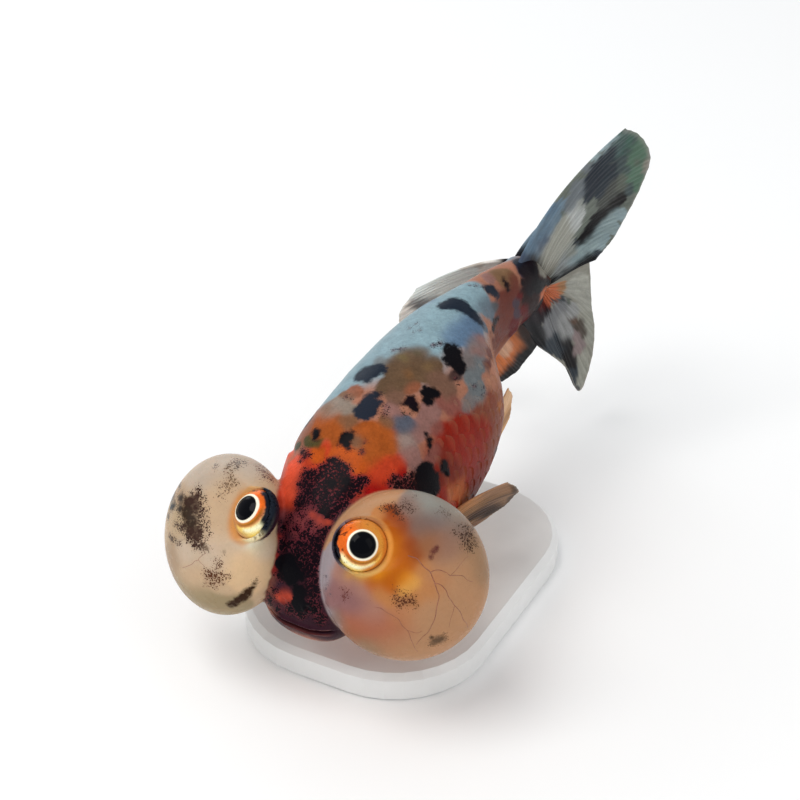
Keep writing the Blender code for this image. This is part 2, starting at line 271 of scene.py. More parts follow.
def shape(p):
    """Signed distance to the skin, roughly in mm; negative inside."""
    x, y, z = p[:, 0], p[:, 1], p[:, 2]
    d = body_distance(p)
    # gill covers: a shallow plate with a rounded rear edge on each side
    near = smooth(np.abs(x), 5.0, 8.5) * smooth(y, 10.0, 15.0)
    rho = np.hypot(y - 13.4, (z + 3.6) * 0.92)
    plate = 1 - smooth(rho, 11.3, 12.0)
    d = d - near * (0.42 * plate * smooth(rho, 5.0, 10.5) - 0.16 * np.exp(-((rho - 12.2) / 0.5) ** 2))
    ring = np.exp(-((rho - 7.2) / 0.45) ** 2) * near * smooth(-z, 1.0, 4.0)
    d = d + 0.14 * ring
    # fin roots
    for a, b, r in FIN_ROOTS:
        d = smin(d, capsule(p, a, b, r), 1.2 + r)
    # lips and mouth
    front = 1 - smooth(y, 1.2, 3.4)
    s = z - mouth_height(x)
    wide = 1 - smooth(np.abs(x - 0.1), 3.9, 5.6)
    lip = np.exp(-((np.abs(s) - 0.66) / 0.36) ** 2)
    d = d - 0.34 * lip * wide * front
    slot = np.sqrt(((x - 0.1) / 4.7) ** 2 + (s / 0.34) ** 2 + (y / 2.0) ** 2)
    d = smax(d, -(slot - 1) * 0.5, 0.25)
    # nostrils, each with a small raised flap
    for side in (1, -1):
        q = np.sqrt((x - side * 2.1 + 0.1) ** 2 + (y - 0.7) ** 2 + (z + 3.2) ** 2)
        d = d - 0.22 * np.exp(-((q - 0.75) / 0.32) ** 2)
        d = d + 0.45 * np.exp(-(q / 0.42) ** 2)
    # eye sacs
    for side in (1, -1):
        axes, radii = sac_axes(side)
        d = smin(d, ellipsoid(p, SAC[side], axes, radii), 0.9)
    # eye rims and sockets
    for side in (1, -1):
        axes = eye_axes(side)
        e = ellipsoid(p, EYE[side], axes, (EYE_RADIUS + 0.45, EYE_RADIUS + 0.45, EYE_DEPTH + 0.05))
        d = smin(d, e, 1.3)
        socket = ellipsoid(p, EYE[side], axes, (EYE_RADIUS - 0.33, EYE_RADIUS - 0.33, EYE_DEPTH - 0.25))
        above = (p - EYE[side]) @ axes[2]
        flat = np.hypot((p - EYE[side]) @ axes[0], (p - EYE[side]) @ axes[1])
        d = smax(d, -socket, 0.2)
        lip = np.clip(above, 0.0, EYE_LIP) / EYE_DEPTH
        well = flat - ((EYE_RADIUS - 0.12) * np.sqrt(1 - lip * lip) - 0.21 + 2.0 * np.maximum(above - EYE_LIP, 0.0))
        d = smax(d, -smax(well, -above, 0.3), 0.35)
    return d + SKIN_IN


def gradient(p, h=0.04):
    g = np.zeros_like(p)
    for k in range(3):
        e = np.zeros(3)
        e[k] = h
        g[:, k] = (shape(p + e) - shape(p - e)) / (2 * h)
    return g


def settle(p, steps=3):
    for _ in range(steps):
        g = gradient(p)
        m = np.maximum((g * g).sum(1), 0.2)
        move = g * (shape(p) / m)[:, None]
        far = np.maximum(np.sqrt((move * move).sum(1)) / 0.4, 1.0)
        p = p - move / far[:, None]
    return p


def surface_net(lo, hi, step):
    """Quads round the zero level of shape()."""
    n = [int(math.ceil((h - l) / step)) + 1 for l, h in zip(lo, hi)]
    ys, zs = lo[1] + step * np.arange(n[1]), lo[2] + step * np.arange(n[2])
    yy, zz = np.meshgrid(ys, zs, indexing="ij")
    f = np.empty(n, np.float32)
    for i in range(n[0]):
        pts = np.stack([np.full(yy.size, lo[0] + step * i), yy.ravel(), zz.ravel()], 1)
        f[i] = shape(pts).reshape(yy.shape)
    s = f < 0
    count = np.zeros([k - 1 for k in n], np.int8)
    for dx in (0, 1):
        for dy in (0, 1):
            for dz in (0, 1):
                count += s[dx:n[0] - 1 + dx, dy:n[1] - 1 + dy, dz:n[2] - 1 + dz]
    active = (count > 0) & (count < 8)
    index = np.full(active.shape, -1)
    index[active] = np.arange(active.sum())
    cells = np.argwhere(active)
    acc, num = np.zeros((len(cells), 3)), np.zeros(len(cells))
    corners = [(a, b, c) for a in (0, 1) for b in (0, 1) for c in (0, 1)]
    for a in corners:
        for k in range(3):
            if a[k]:
                continue
            b = list(a)
            b[k] = 1
            fa = f[cells[:, 0] + a[0], cells[:, 1] + a[1], cells[:, 2] + a[2]].astype(float)
            fb = f[cells[:, 0] + b[0], cells[:, 1] + b[1], cells[:, 2] + b[2]].astype(float)
            cross = (fa < 0) != (fb < 0)
            t = np.where(cross, fa / np.where(cross, fa - fb, 1), 0)
            pt = np.tile(np.array(a, float), (len(cells), 1))
            pt[:, k] += t
            acc[cross] += pt[cross]
            num += cross
    verts = np.array(lo) + step * (cells + acc / num[:, None])
    faces = []
    for k in range(3):
        i, j = (k + 1) % 3, (k + 2) % 3
        a = [slice(1, m - 1) for m in n]
        b = [slice(1, m - 1) for m in n]
        a[k], b[k] = slice(0, n[k] - 1), slice(1, n[k])
        sa, sb = s[tuple(a)], s[tuple(b)]
        for flip, mask in ((False, sa & ~sb), (True, ~sa & sb)):
            e = np.argwhere(mask)
            base = e + 1
            base[:, k] -= 1
            quad = []
            for di, dj in ((-1, -1), (0, -1), (0, 0), (-1, 0)):
                c = base.copy()
                c[:, i] += di
                c[:, j] += dj
                quad.append(index[c[:, 0], c[:, 1], c[:, 2]])
            quad = np.stack(quad, 1)
            faces.append(quad[:, ::-1] if flip else quad)
    return verts, np.concatenate(faces)


# ------------------------------------------------------------------- colours
# Palette (8-bit sRGB)
INK_BLACK, INK_NAVY, INK_PLUM, INK_MAROON = (6, 5, 10), (20, 30, 44), (16, 6, 14), (22, 6, 10)
INK_BROWN, INK_SLATE, INK_MOSS, INK_UMBER = (58, 39, 31), (32, 38, 50), (48, 52, 42), (90, 54, 37)
INK_DOVE, INK_WINE, INK_WINE_SOFT, INK_KHAKI = (98, 86, 80), (92, 46, 42), (96, 64, 60), (102, 78, 58)
INK_SMOKE, INK_OLIVE, INK_UMBER_DARK, INK_STEEL = (92, 80, 88), (52, 40, 30), (60, 40, 34), (38, 36, 36)
INK_PUTTY, INK_SEPIA = (126, 112, 92), (52, 30, 15)
SKY, SKY_DEEP, SLATE_BLUE, SLATE, SLATE_GREEN = (129, 154, 163), (86, 109, 134), (88, 100, 111), (113, 104, 102), (102, 107, 109)
ASH, OLIVE, SADDLE_RED, AMBER_RED, MAROON_SOFT = (134, 121, 109), (93, 71, 52), (110, 80, 65), (134, 80, 57), (67, 47, 44)
PINK_GREY, ROSE_DUST, ROSE_DIM, OCHRE, BLUE_GREY = (135, 97, 90), (129, 76, 67), (72, 74, 78), (118, 82, 58), (80, 84, 96)
PINK_WHITE, ORANGE, FLAME, SCARLET, CRIMSON = (143, 123, 115), (153, 76, 29), (180, 78, 22), (182, 59, 30), (145, 5, 5)
SALMON, MOSS, STEEL_GREEN, BRICK, BRICK_DEEP = (221, 82, 51), (72, 66, 36), (59, 59, 31), (132, 28, 12), (108, 28, 10)
RUST, RUST_DIM, RUST_PALE, WALNUT, PEDUNCLE = (164, 87, 51), (121, 61, 42), (151, 81, 22), (117, 88, 63), (100, 49, 39)
STEEL, MAROON_RED, MAROON, APRICOT, PEACH = (67, 53, 63), (87, 5, 5), (31, 5, 5), (178, 94, 50), (194, 148, 120)
HEAD, HEAD_ROSE, HEAD_ROSE_DIM, FLAME_RED = (51, 24, 35), (134, 60, 61), (45, 25, 43), (192, 72, 49)
EMBER_RED, STRIP_PINK, STRIP_DIM, CREAM, LEMON = (177, 42, 26), (167, 100, 78), (143, 90, 73), (222, 182, 152), (206, 128, 92)
MIST, MIST_PALE, MIST_PINK, DOVE, DOVE_PINK = (136, 139, 133), (177, 164, 152), (131, 102, 92), (96, 88, 93), (112, 89, 83)
SAND, SAND_DIM, SAND_PALE, SAND_OLIVE, TAUPE = (178, 134, 99), (146, 117, 90), (164, 137, 110), (156, 137, 105), (130, 96, 86)
CLAY, CLAY_DIM, CLAY_ROSE, MAUVE_WARM, MAUVE = (179, 123, 84), (144, 88, 51), (167, 99, 73), (164, 119, 104), (137, 97, 96)
# the pale rim grey on the next line is a painted light rim along the sacs' edges
MAUVE_GREY, RIM_LIGHT_GREY, AMBER_SOFT, AMBER_DEEP = (135, 108, 97), (154, 143, 147), (183, 122, 73), (140, 59, 15)
# the glow colours on the next line are painted glow, standing for light shining through the sacs
GLOW, GLOW_GOLD, GLOW_PALE, PARCHMENT = (175, 88, 14), (211, 131, 28), (209, 151, 75), (194, 165, 134)
# the two palest creams on the next line are painted glow below the right eye
PARCHMENT_COOL, CREAM_TAN, GLOW_CREAM_PALE, GLOW_CREAM_BRIGHT = (195, 175, 155), (214, 181, 142), (237, 224, 186), (247, 247, 235)
BONE_GREY, BONE_WARM, ASH_GREEN, BONE, ASH_BLUE = (151, 151, 142), (124, 120, 110), (139, 144, 144), (140, 144, 138), (110, 116, 120)
BONE_WHITE, SMOKE, SMOKE_GREEN, SEA, SEA_LIGHT = (170, 173, 171), (72, 74, 70), (86, 91, 82), (62, 93, 81), (82, 109, 91)
SEA_DIM, ICE_DIM, ICE, STEEL_BLUE, STEEL_LIGHT = (73, 91, 90), (137, 154, 158), (140, 156, 158), (106, 125, 139), (97, 118, 136)
STEEL_DARK, CHAR_GREEN, CHAR, CHAR_BLUE, SOOT = (68, 79, 97), (66, 77, 78), (45, 52, 59), (44, 49, 57), (23, 20, 21)
JET, STONE_WARM, PEWTER_DIM, PEWTER, ROSE_ASH = (5, 5, 10), (143, 143, 133), (111, 112, 114), (137, 138, 137), (128, 113, 112)
UMBER_ROSE, UMBER_GREY, EMBER, EMBER_PALE, EMBER_DEEP = (82, 61, 47), (68, 59, 51), (180, 100, 66), (150, 111, 77), (169, 83, 56)
FIN_PALE, FIN_BEIGE, FIN_PATCH = (209, 216, 213), (222, 217, 210), (91, 88, 90)

# broad ground colours: centre, radius, colour, softness
BODY_BROAD = (
    ((0, 34, -22), 17.0, CREAM, 6.0), ((0, 16, -18), 10.0, LEMON, 4.0), ((0, 58, -16), 7.5, PEACH, 3.0),
    ((-13, 30, 0), 9.0, RUST, 3.0), ((-12, 42, 1), 8.0, PINK_GREY, 3.0), ((-10, 52, 1), 8.0, SKY, 3.0),
    ((-6, 63, -1), 5.5, PINK_GREY, 2.6), ((-6, 74, -5), 6.0, PEDUNCLE, 3.0),
    ((13, 30, -1), 9.0, BRICK, 3.0), ((12.4, 40, -7), 9.0, BRICK, 3.0), ((12, 48, -6), 7.0, RUST_DIM, 3.0),
    ((8, 58, -4), 6.0, PEDUNCLE, 2.6), ((4, 69, -4), 6.5, PEDUNCLE, 2.6), ((4, 80, -6), 6.5, MAROON, 2.4),
    ((-3, 42, 12), 9.0, SKY, 3.0), ((-1, 54, 11), 9.0, SKY, 3.0), ((-8, 34, 9.6), 6.0, SKY, 2.0),
    ((-6, 60, 5), 5.0, SKY_DEEP, 2.4), ((-3.0, 80, -3), 4.0, STEEL_BLUE, 2.0),
    ((-9.8, 24, 8), 5.0, AMBER_RED, 2.0), ((-11.6, 18, 1), 6.5, SALMON, 2.0), ((11.6, 19, 2), 5.5, SCARLET, 1.8),
    ((0, 16, 10), 7.0, SCARLET, 1.6), ((0, 2, 0), 10.0, HEAD, 1.4), ((0, 1, -9), 8.0, HEAD, 1.8),
    ((0, 4, -14.5), 5.5, (190, 124, 98), 2.0),
)

# colour patches of the side the photograph shows: centre, radius, colour
BODY_AREAS = (
    ((0.8, 62.0, 7.6), 2.8, SKY), ((-2.4, 61.0, 8.2), 2.0, SKY), ((0.5, 52.1, 10.6), 2.9, SKY),
    ((1.3, 47.0, 11.4), 2.5, SKY), ((-2.0, 46.6, 11.4), 2.3, SKY), ((-5.0, 43.4, 11.0), 2.3, SKY),
    ((-7.5, 40.8, 9.8), 2.0, SKY), ((-8.2, 35.4, 10.0), 1.6, SKY), ((-10.1, 40.3, 7.0), 1.6, SKY),
    ((4.4, 52.1, 9.7), 2.4, SKY_DEEP), ((5.0, 55.6, 7.8), 1.6, SKY_DEEP), ((3.7, 49.3, 10.6), 1.6, SKY_DEEP),
    ((2.7, 62.9, 5.1), 1.5, SLATE_BLUE), ((3.3, 63.7, 2.5), 1.1, SLATE_BLUE), ((-3.0, 38.3, 12.6), 1.1, SLATE_GREEN),
    ((-4.5, 27.8, 12.7), 1.4, ASH), ((-5.5, 26.2, 12.4), 1.4, ASH), ((-2.1, 26.9, 13.4), 0.9, ASH),
    ((7.2, 50.7, 8.2), 1.4, SLATE), ((7.9, 47.1, 8.6), 1.3, SLATE), ((9.1, 48.5, 6.9), 1.3, SLATE_GREEN),
    ((9.4, 44.9, 7.4), 1.4, SLATE_GREEN), ((10.7, 44.0, 5.5), 1.4, SLATE_GREEN), ((10.7, 41.4, 6.0), 1.2, SLATE),
    ((10.7, 39.4, 5.9), 0.7, SLATE), ((0.6, 38.4, 12.9), 1.9, OLIVE), ((0.9, 41.4, 12.5), 1.6, OLIVE),
    ((1.8, 43.1, 12.1), 1.2, OLIVE), ((3.8, 39.3, 12.3), 1.9, OLIVE), ((-0.2, 36.5, 13.1), 1.2, OLIVE),
    ((2.1, 35.4, 12.9), 1.6, OLIVE), ((4.9, 42.1, 11.4), 1.2, OLIVE), ((6.3, 39.3, 11.1), 1.6, SADDLE_RED),
    ((8.1, 38.6, 9.8), 1.6, SADDLE_RED), ((9.5, 37.6, 8.1), 1.4, ROSE_DUST), ((3.0, 32.4, 13.0), 1.4, SADDLE_RED),
    ((0.6, 33.1, 13.3), 1.2, OLIVE), ((4.3, 35.1, 12.4), 0.9, AMBER_RED), ((-3.6, 30.9, 13.0), 1.0, AMBER_RED),
    ((-4.8, 30.0, 12.5), 0.9, OCHRE), ((7.9, 42.4, 9.5), 0.9, MAROON_SOFT), ((8.1, 33.3, 10.2), 1.4, PINK_GREY),
    ((8.2, 36.5, 9.8), 1.0, ROSE_DUST), ((4.0, 29.2, 12.9), 1.2, PINK_GREY), ((4.0, 27.1, 12.9), 1.0, OCHRE),
    ((6.5, 28.1, 11.8), 1.4, BLUE_GREY), ((7.5, 28.9, 11.0), 0.9, BLUE_GREY), ((5.3, 28.2, 12.4), 0.9, BLUE_GREY),
    ((7.7, 25.9, 10.9), 1.4, PINK_WHITE), ((9.1, 24.7, 9.5), 1.4, PINK_GREY), ((10.3, 24.4, 8.0), 1.0, PINK_GREY),
    ((8.5, 29.1, 10.2), 1.4, PINK_GREY), ((8.3, 31.6, 10.2), 1.2, PINK_GREY), ((9.8, 31.7, 8.4), 1.0, ROSE_DUST),
    ((11.1, 28.8, 6.4), 1.2, ROSE_DUST), ((11.1, 26.6, 6.7), 0.9, ROSE_DUST), ((-4.3, 24.3, 12.6), 2.1, ORANGE),
    ((-5.1, 22.3, 12.1), 1.4, ORANGE), ((-1.9, 21.6, 12.7), 1.5, ORANGE), ((2.3, 23.6, 13.1), 1.5, ORANGE),
    ((4.8, 23.5, 12.4), 2.2, ORANGE), ((4.6, 20.8, 11.8), 1.7, ORANGE), ((6.7, 23.1, 11.3), 1.4, ORANGE),
    ((-1.5, 24.5, 13.3), 1.4, OCHRE), ((1.9, 21.7, 12.7), 1.0, OCHRE), ((-6.5, 26.6, 11.9), 1.0, OCHRE),
    ((0.5, 18.8, 12.0), 1.4, FLAME), ((3.2, 18.9, 11.6), 1.4, FLAME), ((-3.3, 18.2, 11.4), 1.0, FLAME),
    ((6.8, 19.0, 10.0), 1.9, SCARLET), ((7.0, 16.8, 9.0), 1.5, CRIMSON), ((5.0, 16.5, 6.2), 1.4, CRIMSON),
    ((4.1, 15.2, 6.3), 1.0, CRIMSON), ((7.5, 21.0, 10.2), 1.4, SCARLET), ((8.5, 22.3, 9.7), 1.0, SCARLET),
    ((7.4, 18.6, 6.3), 1.4, CRIMSON), ((9.0, 21.7, 8.9), 0.8, CRIMSON), ((-7.3, 15.4, 8.1), 1.5, SALMON),
    ((-6.2, 12.8, 7.7), 1.5, SALMON), ((-5.4, 10.8, 7.1), 1.2, SCARLET), ((-6.7, 16.9, 9.3), 1.2, SALMON),
    ((-5.0, 17.1, 10.4), 0.9, SCARLET), ((-6.6, 20.7, 10.7), 0.9, MOSS), ((-4.9, 20.1, 11.5), 0.7, MOSS),
    ((-9.1, 20.5, 8.5), 0.7, STEEL_GREEN), ((11.6, 33.7, 4.8), 2.6, BRICK), ((11.6, 37.5, 4.2), 1.8, BRICK),
    ((12.7, 35.7, -0.3), 2.1, BRICK), ((12.7, 30.7, 1.3), 2.1, BRICK_DEEP), ((13.1, 29.6, -2.1), 1.8, RUST),
    ((11.7, 30.1, 5.0), 1.4, BRICK_DEEP), ((12.5, 40.7, 0.4), 2.1, BRICK), ((12.4, 44.4, 0.5), 1.6, RUST_DIM),
    ((11.8, 42.0, 3.3), 1.1, RUST_DIM), ((11.8, 45.9, 2.1), 1.1, RUST_DIM), ((12.4, 26.6, 3.2), 1.0, BRICK_DEEP),
    ((12.9, 36.6, -4.7), 1.8, BRICK), ((12.8, 32.5, -7.6), 1.4, RUST), ((12.0, 48.2, -1.3), 0.7, RUST_PALE),
    ((1.7, 72.8, 2.8), 1.5, WALNUT), ((0.5, 72.0, 3.9), 1.1, WALNUT), ((0.3, 69.8, 4.8), 1.0, PINK_GREY),
    ((2.4, 73.8, 1.5), 1.0, PEDUNCLE), ((3.1, 72.8, 0.1), 1.2, PEDUNCLE), ((2.9, 69.9, 0.9), 1.1, PEDUNCLE),
    ((3.1, 68.7, -1.0), 1.3, PEDUNCLE), ((3.1, 68.6, -3.7), 1.3, PEDUNCLE), ((3.1, 66.0, -4.0), 1.2, PEDUNCLE),
    ((4.5, 61.6, -2.0), 1.1, PEDUNCLE), ((8.4, 53.2, 4.8), 0.9, PEDUNCLE), ((9.6, 50.2, 5.5), 0.7, PEDUNCLE),
    ((2.8, 66.5, 1.5), 0.8, ROSE_DIM), ((3.5, 72.8, -2.6), 0.8, STEEL), ((3.5, 72.7, -5.1), 0.8, STEEL),
    ((3.1, 71.9, -7.2), 1.0, MAROON_RED), ((1.9, 72.7, -10.3), 1.0, MAROON_RED),
    ((3.7, 75.0, -6.4), 1.0, MAROON_RED), ((3.8, 76.2, -4.7), 1.0, MAROON), ((3.6, 76.2, -2.5), 1.0, MAROON),
    ((2.6, 76.5, -11.0), 1.0, MAROON_RED), ((2.1, 75.5, -11.2), 0.8, MAROON), ((3.6, 74.3, -2.2), 0.6, MAROON_RED),
    ((6.9, 53.1, 7.3), 1.1, PINK_GREY), ((7.8, 50.5, 7.7), 1.1, PINK_GREY), ((5.2, 58.3, 4.7), 0.7, SLATE_BLUE),
    ((-0.1, 4.3, 3.4), 9.9, HEAD), ((-1.0, 8.8, 7.3), 2.0, HEAD_ROSE), ((-1.3, 7.5, 6.4), 1.5, HEAD_ROSE),
    ((1.4, 8.4, 7.0), 1.3, HEAD_ROSE), ((-0.2, 9.7, 8.0), 0.7, FLAME_RED), ((1.2, 9.3, 7.7), 0.8, FLAME_RED),
    ((2.3, 9.2, 7.4), 0.8, FLAME_RED), ((2.9, 9.7, 7.6), 0.5, FLAME_RED), ((-5.0, 9.2, 6.3), 1.0, HEAD_ROSE),
    ((-1.9, 1.0, -2.5), 1.2, FLAME_RED), ((-1.0, 1.1, -2.2), 0.7, FLAME_RED), ((-3.1, 0.9, -3.2), 0.7, FLAME_RED),
    
    
    ((-2.3, 5.5, 4.4), 0.8, HEAD_ROSE_DIM), ((2.1, 2.7, 0.7), 1.3, HEAD_ROSE_DIM),
    ((-3.9, 1.9, -1.1), 1.0, HEAD_ROSE_DIM),
    ((-4.6, 5.6, 4.4), 0.9, EMBER_RED), ((-4.7, 4.3, 2.6), 0.9, EMBER_RED), ((-4.7, 3.0, 0.8), 0.9, EMBER_RED),
    ((-4.9, 2.2, -1.0), 0.9, STRIP_PINK), ((-5.0, 1.7, -2.8), 0.9, STRIP_PINK), ((-5.2, 1.4, -4.6), 0.8, STRIP_PINK),
    ((-5.6, 1.4, -6.2), 0.8, STRIP_DIM), ((-5.4, 1.2, -7.6), 0.9, STRIP_DIM),
    ((0.2, 40.2, 12.8), 0.9, (112, 98, 60)), ((2.6, 37.4, 12.9), 0.9, (122, 84, 52)), ((1.5, 42.6, 12.3), 0.7, (92, 84, 58)),
    ((4.4, 40.8, 11.8), 0.8, (112, 88, 58)), ((2.9, 85.5, -4.3), 1.4, BONE_WARM), ((3.6, 84.6, -5.2), 0.9, BONE_WARM), ((3.3, 83.4, -4.0), 0.8, BONE_WARM),
    ((3.8, 83.9, -9.8), 1.3, EMBER), ((4.0, 81.8, -8.7), 0.9, EMBER), ((3.8, 78.4, -7.6), 1.6, MAROON),
    ((3.4, 78.0, -10.5), 1.6, MAROON), ((3.2, 76.3, -9.6), 1.0, MAROON_RED), ((3.4, 79.8, -2.3), 1.4, MAROON),
    ((2.5, 78.3, -0.2), 1.2, STEEL),
)

